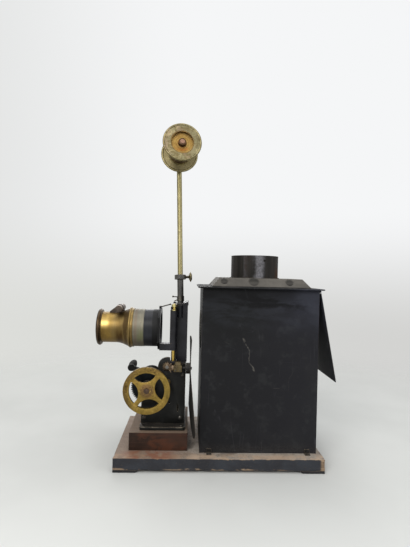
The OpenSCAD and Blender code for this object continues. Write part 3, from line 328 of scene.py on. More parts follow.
# %% Black japan
def japan(name, black, grey, dust, wear, rough, bare="#5c5147", shine=0.2, patch=None):
    """patch(f, cloud) paints the places that only this piece has, and says where they are bare metal."""
    f = Finish(name)
    cloud = grain(f, 38, 5, 0.6)
    fine = grain(f, 700, 3)
    f.base = mix(f, cloud.between(0.35, 0.7), black, grey)
    marks = scratch(f, (55, 55, 5), (0.1, 0.5, 0.2)) * 0.5
    marks = marks + scratch(f, (8, 60, 70), (0.3, 0.2, 0.9), place=(3, 1, 2)) * 0.4
    f.paint(marks * 0.4, "#46454a")
    settled = f.rise.between(0.35, 0.95) * (cloud * 0.5 + fine * 0.6).between(0.2, 0.75) * dust
    settled = settled + corner_dirt(f).between(0.25, 0.9) * fine.between(0.3, 0.8) * (dust * 0.2)
    f.paint(settled, "#6f675e")
    least = 0.95 - 0.45 * wear
    chip = (rubbed_edge(f) * 0.75 + grain(f, 260, 5, 0.7) * 0.5).between(least, least + 0.2)
    f.paint(chip, bare)
    metal = chip * 0.6
    if patch:
        metal = (metal + patch(f, cloud)).between(-0.2, 1.2)
    gloss = rough + cloud * 0.16 + settled * 0.35 - marks * 0.05
    f.set(Roughness=gloss, Metallic=metal, Specular_IOR_Level=shine,
          Normal=bump(f, fine * 0.25 + cloud * 1.6, 0.00035, 0.5))

def frame_patches(f, cloud):
    """A painted highlight: pale dashes along the top edge of the foot all round."""
    dashes = grain(f, 75, 5, 0.65).between(0.42, 0.56)
    worn = band(f.z, 0.0471, 0.0484, 0.0003) * dashes * f.rise.between(0.9, 0.6)
    # painted highlight: pale dashes on the foot's upper edge, made a little metallic
    f.paint(worn * 0.6, "#8a8070")
    return worn * 0.2

def gate_patches(f, cloud):
    """Bare brass where the paint has gone from the door's top knuckle, with a painted highlight down its middle and
    painted shade at its sides, and painted shade darkening the lens plate.
    """
    knuckle = abs(f.x + 0.066).between(0.0046, 0.0042) * abs(f.y + 0.0305).between(0.0052, 0.0048)
    knuckle = knuckle * f.z.stirred(cloud, 0.002).between(0.2075, 0.2085)
    # painted shade: the lens plate is painted almost black
    f.paint(f.x.between(-0.0845, -0.0852), "#08080a")
    # painted highlight down the middle of the bare knuckle, painted shade at its sides
    f.paint(knuckle, mix(f, abs(f.x + 0.0667).between(0.0004, 0.0032), "#d3c78d", "#3c3422"))
    return knuckle * 0.6

japan("frame_black", "#181817", "#252523", 0.2, 0.75, 0.3, "#8a7b68", 0.18, frame_patches)
japan("gate_black", "#17171a", "#27272c", 0.2, 0.6, 0.28, shine=0.28, patch=gate_patches)
japan("collar_black", "#242322", "#42403c", 0.1, 0.9, 0.34, bare="#8f8a80", shine=0.4)
japan("cell_black", "#1c1c1c", "#2c2c2a", 0.3, 0.9, 0.45, bare="#9a958a")
japan("blade_black", "#191815", "#2b2926", 0.3, 0.6, 0.45)
japan("hub_black", "#161513", "#262421", 0.2, 0.7, 0.38, bare="#6d655b")
japan("arm_black", "#0e0e0e", "#1a1a19", 0.1, 0.4, 0.45, bare="#4d463d", shine=0.1)

def tube_black():
    """Blue-black lacquer on the tube, with painted shade darkening the flange at its gate end."""
    f = Finish("tube_black")
    cloud = grain(f, 45, 5, 0.6)
    fine = grain(f, 520, 3)
    ringed = grain(f, (900, 12, 12), 3, 0.6)
    f.base = mix(f, cloud.between(0.35, 0.7), "#15161a", "#26272c")
    f.paint(ringed.between(0.5, 0.7) * 0.35, "#3d3e43")
    # painted shade: the gate end of the tube is painted almost black
    end = f.x.between(-0.0985, -0.097)
    f.paint(end, "#0b0b0c")
    f.paint(rubbed_edge(f) * 0.4, "#55534f")
    f.set(Roughness=0.33 + cloud * 0.15 + end * 0.2, Specular_IOR_Level=0.25,
          Normal=bump(f, cloud * 1.2 + fine * 0.3 + ringed * 0.3, 0.0003, 0.5))

tube_black()
print("japanned finishes:", len(finishes))

# %% [markdown]
# ## Lamphouse sheet, roof and chimney
# The lamphouse is thin japanned sheet. Its sides are almost clean, with a painted bluish reflection
# towards the back, the roof has caught grey-brown dust, and heat has burnt and rusted the chimney collar.

# %% Sheet metal of the lamphouse
def long_marks(f, fine):
    """The scratches that show best: one that wanders down the middle, and three short ones."""
    down = f.z.between(0.176, 0.156) * 0.0087 + f.z.between(0.146, 0.129) * 0.0073 + 0.029
    down = down + (grain(f, 90, 3) - 0.5) * 0.006 + (grain(f, 420, 2) - 0.5) * 0.002
    thick = f.z.between(0.164, 0.174) * 0.0009 + f.z.between(0.142, 0.134) * 0.0008
    main = (abs(f.x - down) - thick).between(0.0011, -0.0002) * band(f.z, 0.13, 0.175, 0.002)
    main = main * (fine.between(0.3, 0.65) * 0.6 + 0.3) * grain(f, 210, 3).between(0.3, 0.5)
    lower = f.z.between(0.118, 0.131) * 0.005 + 0.093 + (grain(f, 70, 3) - 0.5) * 0.004
    other = abs(f.x - lower).between(0.0009, 0.0) * band(f.z, 0.105, 0.13, 0.002)
    other = other * fine.between(0.35, 0.6) * 0.3
    short = abs(f.z - 0.1075).between(0.0008, 0.0) * band(f.x, 0.0717, 0.081, 0.001) * 0.3
    nick = abs((f.x - 0.007) * 0.5 + f.z - 0.1685).between(0.0009, 0.0)
    nick = nick * band(f.x, 0.004, 0.0105, 0.001) * 0.25
    near = f.y.between(-0.059, -0.061)
    return (main + other + short + nick) * near

def house_sheet():
    f = Finish("house_sheet")
    cloud = grain(f, 14, 6, 0.62)
    blot = grain(f, (16, 16, 42), 5, 0.6, warp=0.4)
    patchy = grain(f, 75, 5, 0.62)
    fine = grain(f, 520, 3)
    # painted reflection: the base colour turns a little bluer towards the back
    f.base = mix(f, f.x.between(0.0, 0.12) * 0.7 + cloud * 0.3, "#18181a", "#1e1e22")
    f.paint(cloud.between(0.48, 0.75) * 0.5, "#282829")
    f.paint(patchy.between(0.5, 0.68) * 0.4, "#2e2f30")
    f.paint(f.z.between(0.15, 0.21) * f.x.between(0.07, 0.03) * 0.7, "#111211")
    sooty = f.z.stirred(cloud, 0.03).between(0.21, 0.236) * f.x.between(0.12, 0.09)
    # painted reflection: a bluish patch high up towards the back
    painted_blue_reflection = f.x.stirred(cloud, 0.05).between(0.055, 0.12) * f.z.stirred(blot, 0.05).between(0.16, 0.235)
    f.paint(painted_blue_reflection * (patchy * 0.5 + 0.2), "#3a3c48")
    upper = f.z.between(0.18, 0.205) * f.z.between(0.241, 0.233)
    f.paint(blot.between(0.42, 0.56) * upper * 0.3, "#33353c")
    stains = blot.between(0.54, 0.38) * 0.6 * band(f.z, 0.212, 0.235, 0.008)
    f.paint((sooty * 0.6 + stains).between(0.0, 1.0), "#0b0b0d")
    marks = scratch(f, (60, 60, 4), (0.05, 0.12, 0.0), 0.007)
    marks = marks + scratch(f, (5, 50, 60), (0.1, 0.9, 0.3), 0.005, (2, 5, 1)) * 0.5
    f.paint(marks * 0.3, "#4a4a50")
    f.paint(long_marks(f, fine).between(0.0, 1.0) * 0.65, "#6d6a64")
    low_dust = f.z.between(0.036, 0.02) * fine.between(0.3, 0.7)
    flat_dust = f.rise.between(0.4, 0.95) * f.z.between(0.2425, 0.2405) * 0.5
    f.paint(low_dust * 0.12 + flat_dust, "#6d665e")
    chip = (rubbed_edge(f, 0.0008) * 0.7 + grain(f, 190, 5, 0.7) * 0.5).between(0.82, 1.0)
    f.paint(chip, "#463d36")
    buckled = cloud * 2.4 + grain(f, 5.5, 2) * 9.0 + fine * 0.12
    f.set(Roughness=0.44 + cloud * 0.14 + patchy * 0.1 + low_dust * 0.1 - marks * 0.1,
          Specular_IOR_Level=0.14, Metallic=chip * 0.5, Normal=bump(f, buckled, 0.0004, 0.6))

DIMPLES = [(0.003, 0.005), (0.0445, 0.007), (0.095, 0.0055)]
DIMPLE_Y, DIMPLE_Z = -0.0449, 0.2515

def roof_sheet():
    """Dusty hood, painted shade in the pressed dimples and a lip whose edge is almost black."""
    f = Finish("roof_sheet")
    cloud = grain(f, 26, 6, 0.62, warp=0.4)
    fine = grain(f, 620, 4)
    tilt = f.rise.between(0.15, 0.7)
    dusty = mix(f, cloud.between(0.35, 0.68), "#4f4c47", "#615d57")
    dusty = mix(f, grain(f, 60, 5).between(0.58, 0.75) * 0.6, dusty, "#45413c")
    shaded = f.x.stirred(cloud, 0.04).between(-0.008, -0.03) + grain(f, 17, 3).between(0.58, 0.72) * 0.3
    dusty = mix(f, shaded.between(0.0, 1.2) * 0.45, dusty, "#3a3830")
    f.base = mix(f, tilt * (cloud * 0.3 + 0.85).between(0.2, 0.95), "#191817", dusty)
    for x, radius in DIMPLES:
        out = f.vector_sum("DISTANCE", f.place, (x, DIMPLE_Y, DIMPLE_Z))
        ring = out.stirred(cloud, 0.003).between(radius + 0.0022, radius - 0.0016)
        # painted shade in each dimple: darkest on its upper side, lighter below
        f.paint(ring * f.z.stirred(cloud, 0.004).between(0.2478, 0.2535) * 0.85, "#1f1e1b")
        f.paint(ring * f.z.between(0.2505, 0.247) * 0.3, "#37342f")
    lip = f.z.between(0.2456, 0.2449)
    f.paint(lip * (grain(f, 40, 4).between(0.62, 0.5) * 0.25 + 0.75), "#141413")
    f.paint(corner_dirt(f, 0.006).between(0.2, 0.8) * 0.6, "#2c2926")
    where = f.z.between(0.2446, 0.2452) + f.x.between(0.05, 0.12) * 0.6
    edge = rubbed_edge(f, 0.0009) * (fine * 0.6 + cloud * 0.5).between(0.42, 0.62)
    f.paint(edge * where * 0.8, "#a59f94")
    f.set(Roughness=0.5 + tilt * 0.25, Specular_IOR_Level=0.2,
          Normal=bump(f, cloud * 2.0 + fine * 0.4, 0.00045, 0.6))

def chimney_sheet():
    f = Finish("chimney_sheet")
    cloud = grain(f, 40, 6, 0.65, warp=0.6)
    fine = grain(f, 420, 4, 0.6)
    upright = grain(f, (90, 90, 7), 4, 0.6)
    f.base = mix(f, upright.between(0.35, 0.68), "#15130f", "#2a2724")
    wander = f.x.stirred(upright, 0.012) + (cloud - 0.5) * 0.01
    sheen = band(wander, 0.048, 0.058, 0.009) * 1.1 + band(wander, 0.032, 0.038, 0.004) * 0.4
    f.paint((sheen * (fine * 0.9 + cloud * 0.5)).between(0.05, 1.05), "#8f8e93")
    f.paint((upright * 0.6 + cloud * 0.5).between(0.58, 0.74) * 0.55, "#33241c")
    side = f.x.between(0.074, 0.086) * (cloud + 0.1).between(0.48, 0.7)
    f.paint(side * 0.7, "#4f3526")
    rim = rubbed_edge(f, 0.0008) * cloud.between(0.3, 0.6)
    f.paint(rim * 0.7, "#5d544b")
    f.set(Roughness=0.52 + cloud * 0.3 + side * 0.15, Metallic=0.1, Specular_IOR_Level=0.2,
          Normal=bump(f, cloud * 2.2 + upright * 1.2, 0.0004, 0.6))

house_sheet()
roof_sheet()
chimney_sheet()
print("finishes so far:", len(finishes))

# %% [markdown]
# ## Brass
# Lacquered brass tarnishes in clouds: bright gold where a hand keeps it clean, olive and brown
# where the lacquer has failed, almost black in the corners. The recipe mixes these by noise
# and lets the edges shine.

# %% Brass
def brass(name, gold, olive, brown, tarnish, rough, size, speck=0.4, patch=None):
    """patch(f, cloud) may paint the places that only this piece has, before the dirt goes on."""
    f = Finish(name)
    cloud = grain(f, size, 6, 0.6, warp=0.5)
    spots = grain(f, size * 9, 4, 0.65)
    f.base = mix(f, (cloud * 0.8 + spots * 0.2).between(0.34, 0.66), gold, olive)
    if patch:
        patch(f, cloud)
    least = 0.66 - tarnish * 0.2
    old = (grain(f, size * 0.6, 6, 0.62) * 0.75 + spots * 0.3).between(least, least + 0.14)
    deep = corner_dirt(f, 0.003).between(0.25, 0.85)
    f.paint(old * 0.75, brown)
    f.paint(grain(f, 1100, 2, 0.5).between(0.6, 0.72) * speck, "#2e2112")
    f.paint(deep * 0.8, "#23190f")
    f.paint(rubbed_edge(f, 0.0006) * 0.4, gold)
    f.set(Metallic=1.0 - old * 0.35 - deep * 0.4, Roughness=rough + cloud * 0.16 + old * 0.2 + deep * 0.2,
          Normal=bump(f, spots * 0.5 + cloud * 0.6, 0.00012, 0.6, 0.0003))

WHEEL_X, WHEEL_Z = -0.101, 0.0983
ARM_FOOT, ARM_AXIS = (-0.0581, 0.0, 0.217), (-0.03636, 0.1236, 0.99167)
REEL_AT, REEL_AXIS = (-0.066434, 0.028329, 0.444290), (0.108627, -0.985953, 0.126873)

def wheel_patches(f, cloud):
    """A painted dark reflection on the left and top of the wheel's rim, and a browner hub, where oil and hands reach
    it.
    """
    out, _ = about(f, (WHEEL_X, 0.0, WHEEL_Z))
    across = f.x - WHEEL_X
    height = f.z - WHEEL_Z
    rim = out.between(0.0255, 0.0275)
    # painted reflection: the left and top of the rim are darkened
    left = (across + height * -0.15).stirred(cloud, 0.008).between(-0.014, -0.024) * rim
    top = height.stirred(cloud, 0.01).between(0.02, 0.029) * rim
    f.paint(left * 0.7 + top * 0.55 * (1.0 - left), "#5d4a30")
    hub = out.stirred(cloud, 0.004).between(0.0125, 0.0065)
    f.paint(hub * 0.75, "#6d5340")
    # the dark specks are thicker where the painted reflection lies
    worn = (left + top).between(0.0, 1.0) * 0.45 + 0.4
    f.paint(grain(f, 400, 4, 0.65).between(0.54, 0.66) * worn, "#3b2912")
    f.paint(grain(f, 260, 4, 0.6).between(0.56, 0.68) * 0.5, "#c0a25a")

def screw_patches(f, cloud):
    """The stem of the thumb screw is blackened close to the collar."""
    out, _ = about(f, ARM_FOOT, ARM_AXIS)
    f.paint(out.stirred(cloud, 0.001).between(0.0135, 0.0115) * 0.9, "#141315")

def reel_patches(f, cloud):
    """Heat-coloured tarnish in the cup of the near cheek, dark rings painted as the shade of its turned grooves, and a
    greener far cheek.
    """
    out, along = about(f, REEL_AT, REEL_AXIS)
    near = along.between(0.02, 0.04)
    fine = grain(f, 260, 4, 0.6)
    far = mix(f, cloud.between(0.36, 0.6), "#b5a980", "#857a58")
    f.paint((1.0 - near) * 0.75, far)
    pink = (f.x + 0.078).stirred(cloud, 0.03).between(0.004, -0.008) * fine.between(0.36, 0.56)
    f.paint(near * pink * 0.5, "#a08676")
    f.paint(near * grain(f, 120, 5, 0.65, warp=0.9).between(0.46, 0.6) * 0.75, "#665a3c")
    f.paint(near * grain(f, 85, 5, 0.65, warp=0.9).between(0.5, 0.62) * 0.6, "#b3a57c")
    f.paint(near * grain(f, 60, 4, 0.6, warp=0.5).between(0.54, 0.66) * 0.5, "#8d7a66")
    wobble = out.stirred(cloud, 0.0028) + (fine - 0.5) * 0.0012
    cup = near * wobble.between(0.0176, 0.0156)
    gold = mix(f, (cloud * 0.6 + fine * 0.4).between(0.36, 0.64), "#a3854a", "#8c6a35")
    f.paint(cup * 0.9, gold)
    low = (f.z - 0.4445).stirred(cloud, 0.012).between(0.001, -0.007)
    f.paint(cup * wobble.between(0.0135, 0.0105) * low * 0.75, "#8e4f20")
    # painted shade: dark lines at the turned grooves of the cup
    rings = band(wobble, 0.0162, 0.0172, 0.0005) * 0.8 + band(wobble, 0.0124, 0.0131, 0.0004) * 0.35
    rings = rings + band(wobble, 0.0086, 0.0096, 0.0005) * 0.5
    f.paint(near * rings.between(0.0, 1.0) * 0.75, "#45290f")
    well = near * wobble.between(0.0072, 0.0056)
    f.paint(well * 0.9, mix(f, fine.between(0.4, 0.6), "#3f2418", "#7a4a2a"))
    rim = out.between(0.0262, 0.0278)
    f.paint(rim * 0.6, mix(f, fine.between(0.42, 0.6), "#857a50", "#5c5337"))

def rod_patches(f, cloud):
    """The spindle's end is worn to pinkish metal in a ring of dark oil."""
    out, along = about(f, REEL_AT, REEL_AXIS)
    tip = along.between(0.045, 0.0465) * out.between(0.009, 0.008)
    f.paint(tip * 0.9, "#3a2216")
    f.paint(tip * out.stirred(cloud, 0.001).between(0.0042, 0.0033), "#8f6f5e")

brass("wheel_brass", "#a08444", "#84703a", "#54401f", 0.5, 0.42, 55, speck=0.75, patch=wheel_patches)
brass("fitting_brass", "#8d7544", "#6c5b38", "#3d2d18", 0.6, 0.36, 120)
brass("pin_brass", "#d8bb68", "#b39648", "#5c4520", 0.3, 0.24, 160, speck=0.2)
brass("block_brass", "#6f6247", "#554a35", "#2c2317", 0.7, 0.42, 150, speck=0.6)
brass("gear_brass", "#87713f", "#645532", "#2f2415", 0.7, 0.4, 90)
brass("screw_brass", "#7e7352", "#645b42", "#3b3020", 0.6, 0.36, 140, patch=screw_patches)
brass("rod_brass", "#938a66", "#847b57", "#5a5138", 0.3, 0.4, 25, speck=0.2, patch=rod_patches)
brass("reel_brass", "#8a8263", "#777055", "#594c33", 0.25, 0.42, 42, speck=0.5, patch=reel_patches)
brass("core_brass", "#6a5941", "#524232", "#2f231a", 0.6, 0.45, 60)
brass("tank_brass", "#a8853f", "#86703a", "#4b3519", 0.5, 0.3, 35)
brass("burner_brass", "#9b7b3c", "#776334", "#3f2d16", 0.7, 0.35, 80)
print("finishes so far:", len(finishes))

# %% [markdown]
# ## The lens barrel's brass
# The barrel shows the clearest tarnish of all: brown under its front rim, gold in the middle and
# dark olive over the flare. These bands lie at set places along the barrel, so they are made
# from the position along X, broken up by noise, on top of the same clouds as the other brass.
# A painted highlight lies above the middle of the barrel, and painted shade darkens its underside.

# %% Lens barrel and front rim
def barrel_brass(name, gold, olive, brown, bands, rough=0.24, bright=None):
    f = Finish(name)
    cloud = grain(f, 34, 6, 0.62, warp=0.8)
    spots = grain(f, 420, 4, 0.65)
    runs = grain(f, (60, 14, 14), 4, 0.6)
    wander = f.x.stirred(cloud, 0.011)
    f.base = mix(f, (cloud * 0.6 + runs * 0.4 + spots * 0.1).between(0.4, 0.66), gold, olive)
    # painted shade: the underside of the barrel is darker olive
    f.paint(f.z.stirred(cloud, 0.03).between(0.171, 0.158) * 0.6, olive)
    f.paint((wander.between(-0.162, -0.15) * 0.6), "#7b6a48")
    f.paint(runs.between(0.5, 0.62) * 0.45, "#58431f")
    drips = band(wander, -0.15, -0.1405, 0.003) * f.z.stirred(runs, 0.06).between(0.189, 0.176)
    f.paint(drips * cloud.between(0.62, 0.45) * 0.8, "#3d2814")
    painted_highlight = f.z * 0.0
    if bright:
        # painted highlight: a pale patch above the middle of the barrel
        painted_highlight = band(f.x.stirred(cloud, 0.006), bright[0], bright[1], 0.0035)
        painted_highlight = painted_highlight * band(f.z.stirred(cloud, 0.01), bright[2], bright[3], 0.005)
        f.paint(painted_highlight * 0.85, "#c3a766")
    dark = spots * 0.0
    for low, high, amount in bands:
        dark = dark + band(wander, low, high, 0.0014) * amount
    dark = dark + grain(f, 27, 5, 0.6, warp=0.6).between(0.56, 0.7) * 0.5
    f.paint(dark.between(0.0, 1.0), brown)
    f.paint(corner_dirt(f, 0.003).between(0.3, 0.9) * 0.75, "#1b130b")
    f.paint(rubbed_edge(f, 0.0005) * 0.45, gold)
    lathe = (f.x * 7000.0 + cloud * 2.0).sine()
    f.set(Metallic=1.0 - dark.between(0.2, 1.4) * 0.3,
          Roughness=rough + cloud * 0.12 + dark.between(0.0, 1.2) * 0.16 - painted_highlight * 0.06,
          Normal=bump(f, lathe * 0.22 + spots * 0.3 + cloud * 0.5, 0.00012, 0.6, 0.0003))

barrel_brass("jacket_brass", "#94793f", "#735c33", "#33210f",
             [(-0.1765, -0.1735, 0.75), (-0.1395, -0.1325, 0.65), (-0.1275, -0.1245, 0.45)],
             0.38, bright=(-0.172, -0.161, 0.182, 0.194))
barrel_brass("front_brass", "#695741", "#4a3d30", "#1f1713", [(-0.181, -0.1755, 0.6)], 0.34)

def knob_brass():
    f = Finish("knob_brass")
    cloud = grain(f, 160, 5, 0.6)
    f.base = mix(f, cloud.between(0.35, 0.7), "#3d342d", "#5b5047")
    f.paint(rubbed_edge(f, 0.0003) * 0.5, "#8a735a")
    f.paint(corner_dirt(f, 0.0015).between(0.3, 0.9) * 0.7, "#1b120c")
    f.set(Metallic=0.7, Roughness=0.36 + cloud * 0.2, Normal=bump(f, cloud, 0.0001, 0.5, 0.0002))

knob_brass()
print("finishes so far:", len(finishes))

# %% [markdown]
# ## Steel, iron, zinc and tin
# The shafts and the film's runways are bright steel, the gears and screws are dark and oily, and
# the sleeve between the black tube and the barrel is dull zinc with a faint green bloom.

# %% Grey metals
def grey_metal(name, light, dark, stain, stained=0.3, rough=0.35, size=90, metal=1.0):
    f = Finish(name)
    cloud = grain(f, size, 5, 0.6, warp=0.3)
    fine = grain(f, 900, 3)
    brushed = grain(f, (60, 900, 60), 3, 0.6)
    f.base = mix(f, (cloud * 0.7 + brushed * 0.3).between(0.35, 0.65), light, dark)
    least = 0.72 - stained * 0.3
    old = (grain(f, size * 0.5, 6, 0.65) * 0.8 + fine * 0.25).between(least, least + 0.14)
    dirt = corner_dirt(f, 0.003).between(0.25, 0.85)
    f.paint(old * 0.8, stain)
    f.paint(dirt * 0.75, "#1d1712")
    f.paint(rubbed_edge(f, 0.0005) * 0.4, light)
    f.set(Metallic=metal - old * 0.4 - dirt * 0.3, Roughness=rough + cloud * 0.15 + old * 0.25 + dirt * 0.2,
          Normal=bump(f, fine * 0.3 + cloud * 0.6 + brushed * 0.3, 0.00012, 0.6, 0.0003))

def zinc():
    """Dull zinc, with a pinkish stripe at its front, a green bloom low down, painted shade along its underside and
    fine lathe lines.
    """
    f = Finish("sleeve_zinc")
    cloud = grain(f, 45, 5, 0.6, warp=0.4)
    fine = grain(f, 900, 3)
    lines = grain(f, (1300, 9, 9), 3, 0.6)
    f.base = mix(f, (cloud * 0.5 + lines * 0.5).between(0.38, 0.64), "#7d7868", "#625f55")
    f.paint(band(f.x.stirred(cloud, 0.002), -0.1235, -0.1195, 0.0012) * 0.45, "#6f5b4c")
    bloom = band(f.z.stirred(cloud, 0.02), 0.163, 0.181, 0.006) * band(f.x, -0.119, -0.1095, 0.003)
    f.paint(bloom * cloud.between(0.35, 0.6) * 0.5, "#76794f")
    # painted shade: the underside of the sleeve is darker
    f.paint(f.z.stirred(cloud, 0.02).between(0.168, 0.156) * 0.4, "#5b5344")
    f.paint(grain(f, 120, 5, 0.6).between(0.6, 0.72) * 0.5, "#4e463b")
    f.paint(rubbed_edge(f, 0.0005) * 0.4, "#98927f")
    f.set(Metallic=0.65, Roughness=0.46 + cloud * 0.14, Specular_IOR_Level=0.35,
          Normal=bump(f, lines * 0.6 + fine * 0.3 + cloud * 0.6, 0.00012, 0.6, 0.0003))

grey_metal("old_steel", "#5d5a56", "#3d3a37", "#3a2b20", 0.5, 0.36)
grey_metal("shaft_steel", "#8f8d88", "#6b6863", "#4a3b2e", 0.4, 0.28)
grey_metal("axle_steel", "#6f5c50", "#54453b", "#33271d", 0.5, 0.36)
grey_metal("plate_steel", "#c4c3be", "#a5a39d", "#6a5a48", 0.2, 0.2)
grey_metal("wire_steel", "#5a564f", "#33312e", "#2b241c", 0.5, 0.34)
grey_metal("bevel_steel", "#8d7866", "#6b5e48", "#41352a", 0.4, 0.4)
grey_metal("gear_iron", "#2b3134", "#1c2022", "#1a1512", 0.6, 0.36)
zinc()
grey_metal("reflector_tin", "#d2d2cd", "#b3b3ad", "#8a7f6c", 0.2, 0.16, 40)
print("finishes so far:", len(finishes))

# %% [markdown]
# ## Wood
# The board was painted black. The paint survives on its front edge and has worn off the top, where
# dust lies on the bare softwood. The plinth is stained brown-red, and the grip is polished by hands.

# %% Wood grain, shared by the four woods
def fibres(f, along=0, fine=1.0):
    """Wood fibres that run along one axis: fine streaks on a slow band of year rings."""
    long, slow = [420.0 * fine] * 3, [70.0 * fine] * 3
    long[along], slow[along] = 12.0 * fine, 3.0 * fine
    streak = grain(f, tuple(long), 4, 0.65)
    ring = grain(f, tuple(slow), 3, 0.5, warp=0.8)
    return streak, ring

def board_wood():
    f = Finish("board_wood")
    streak, ring = fibres(f)
    cloud = grain(f, 24, 6, 0.65, warp=0.5)
    fine = grain(f, 480, 4, 0.6)
    bare = mix(f, streak.between(0.3, 0.7), "#7d664f", "#a08a72")
    bare = mix(f, ring.between(0.45, 0.7) * 0.6, bare, "#57483a")
    grey = mix(f, (cloud * 0.6 + fine * 0.5).between(0.35, 0.7), "#6f665e", "#a39a8f")
    top = mix(f, (cloud * 0.8 + 0.35).between(0.4, 0.85), bare, grey)
    stain = grain(f, 42, 6, 0.65, warp=0.7).between(0.52, 0.66)
    top = mix(f, stain * 0.6, top, "#4a3d33")
    wander = (cloud - 0.5) * 0.03
    worn_strip = (f.y + wander * 0.5).between(-0.062, -0.072)
    top = mix(f, worn_strip * grain(f, 60, 5, 0.6).between(0.36, 0.55) * 0.7, top, "#b59c84")
    left = (f.x + wander * 0.6).between(-0.02, -0.07)
    top = mix(f, left * (0.3 + cloud * 0.4), top, "#6b4f3b")
    red = band(f.x + wander, -0.125, -0.062, 0.012) * (f.y + wander * 0.4).between(-0.052, -0.062)
    red = red * grain(f, 55, 5, 0.6).between(0.36, 0.55)
    top = mix(f, red * 0.75, top, "#7c4c36")
    paint = mix(f, cloud.between(0.35, 0.65), "#26262a", "#31343a")
    paint = mix(f, fine.between(0.55, 0.72) * 0.5, paint, "#47433f")
    chip = grain(f, 95, 5, 0.7)
    worn = rubbed_edge(f, 0.0011) * 0.6 + cloud * 0.5 + chip * 0.8
    lost = worn.between(0.97, 1.1)
    edge = f.z.stirred(chip, 0.008).stirred(cloud, 0.004).between(0.0178, 0.0195)
    edge = edge * grain(f, 34, 5, 0.7).between(0.44, 0.54)
    ends = abs(f.x).between(0.1315, 0.1375) * (chip * 0.8 + cloud * 0.3).between(0.46, 0.56)
    ends = ends * f.x.between(-0.17, 0.05)
    lost = (lost + ends).between(0.0, 1.0)
    low = f.z.stirred(grain(f, 22, 5, 0.7), 0.009).between(0.0060, 0.0048)
    low = low * grain(f, 40, 5, 0.7).between(0.47, 0.56) * 0.7
    front = mix(f, (lost + low + edge).between(0.0, 1.0), paint, bare)
    f.base = mix(f, f.rise.between(0.5, 0.85), front, top)
    f.set(Roughness=0.62 + cloud * 0.2, Specular_IOR_Level=0.3,
          Normal=bump(f, streak * 0.5 + fine * 0.5 + cloud * 1.2 - lost * 0.8, 0.0005, 0.7))

def stained_wood(name, dark, light, worn, along, rough, dust, wear=0.5,
                 dust_colour="#9a8d80", shine=0.22, red=None):
    f = Finish(name)
    streak, ring = fibres(f, along, 0.7)
    cloud = grain(f, 22, 5, 0.6)
    fine = grain(f, 560, 3)
    f.base = mix(f, (streak * 0.35 + cloud * 0.65).between(0.38, 0.62), dark, light)
    f.paint(ring.between(0.5, 0.72) * 0.5, dark)
    if red:
        f.paint(grain(f, (22, 22, 45), 4, 0.6, warp=0.8).between(0.48, 0.62) * 0.6, red)
    least = 0.9 - wear * 0.3
    edge = (rubbed_edge(f, 0.0009) * 0.7 + grain(f, 150, 5, 0.7) * 0.5).between(least, least + 0.15)
    f.paint(edge * 0.8, worn)
    settled = f.rise.between(0.5, 0.9) * (cloud * 0.6 + fine * 0.5).between(0.2, 0.6) * dust
    f.paint(settled, dust_colour)
    f.set(Roughness=rough + settled * 0.3 + cloud * 0.12, Specular_IOR_Level=shine,
          Normal=bump(f, streak * 0.6 + cloud * 0.9, 0.0004, 0.6))

board_wood()
stained_wood("batten_wood", "#1d1d1f", "#2b2a2b", "#6b5a48", 1, 0.6, 0.2)
stained_wood("plinth_wood", "#22160f", "#402a20", "#5c4334", 0, 0.45, 0.8, 0.55, "#7d6c5c", red="#54301f")
stained_wood("grip_wood", "#0b0a09", "#141210", "#211c18", 1, 0.55, 0.0, 0.1, shine=0.04)
print("finishes so far:", len(finishes))

# %% [markdown]
# ## Glass
# The lenses are clear glass with a faint green cast. The lamp glass is thin and sooted towards its
# top. Glass is see-through by transmission, and soot is a rough dark coat mixed over it.

# %% Glass
def clear_glass(name, tint, soot=0.0):
    f = Finish(name)
    f.base = tint
    smear = grain(f, 70, 4, 0.6)
    f.set(Roughness=0.03 + smear.between(0.5, 0.8) * 0.12, IOR=1.5, Transmission_Weight=1.0, Metallic=0.0)
    if soot:
        coat = f.node("ShaderNodeBsdfDiffuse", None, {"Color": "#3a332c", "Roughness": 1.0})
        f.cover(f.z.between(0.2, 0.25) * (smear * 0.8 + 0.2) * soot, coat)

clear_glass("optical_glass", "#e8f0ec")
clear_glass("lamp_glass", "#eef1ea", 0.5)
print("finishes in all:", len(finishes))

# %% [markdown]
# ## Give every CAD piece its finish
# The record names a material slot for each node, so one loop dresses the whole frame. A piece
# that is rebuilt further down takes the same finish from the same table.

# %% Dress the CAD nodes
slot_of = {row["node"]: row["material_slot"] for row in frame["record"]["subparts"]}
body_of = {name: body for body, names in frame["record"]["behaviour"]["bodies"].items() for name in names}
for name, obj in nodes.items():
    obj.data.materials.clear()
    obj.data.materials.append(finishes[slot_of[name]])
print("dressed:", len(nodes))

# %% [markdown]
# ## Making a finer piece
# A rebuilt piece always takes the same last steps: it gets its finish, rides on the body that its
# CAD node rides on, and says which node it stands for. Small hard pieces are the CAD mesh with
# its edges rounded by a Bevel modifier, which catches the light as real castings do.

# %% Helpers for rebuilt pieces
def new_piece(name, mesh, slot, body, *stands_for):
    obj = add_object(name, mesh)
    mesh.materials.clear()
    mesh.materials.append(finishes[slot])
    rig.ride(obj, body)
    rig.slot(obj, slot)
    if stands_for:
        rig.replaces(obj, *stands_for)
    return obj

def settle(obj, name):
    """The mesh that an object shows once its modifiers have run, as plain data."""
    bpy.context.view_layer.update()
    mesh = bpy.data.meshes.new_from_object(obj.evaluated_get(bpy.context.evaluated_depsgraph_get()))
    mesh.name = name
    bpy.data.objects.remove(obj)
    return mesh

def mesh_of(bm, name):
    mesh = bpy.data.meshes.new(name)
    bm.to_mesh(mesh)
    bm.free()
    return mesh

def smooth_by_angle(mesh, degrees=32):
    for face in mesh.polygons:
        face.use_smooth = True
    mesh.set_sharp_from_angle(angle=math.radians(degrees))

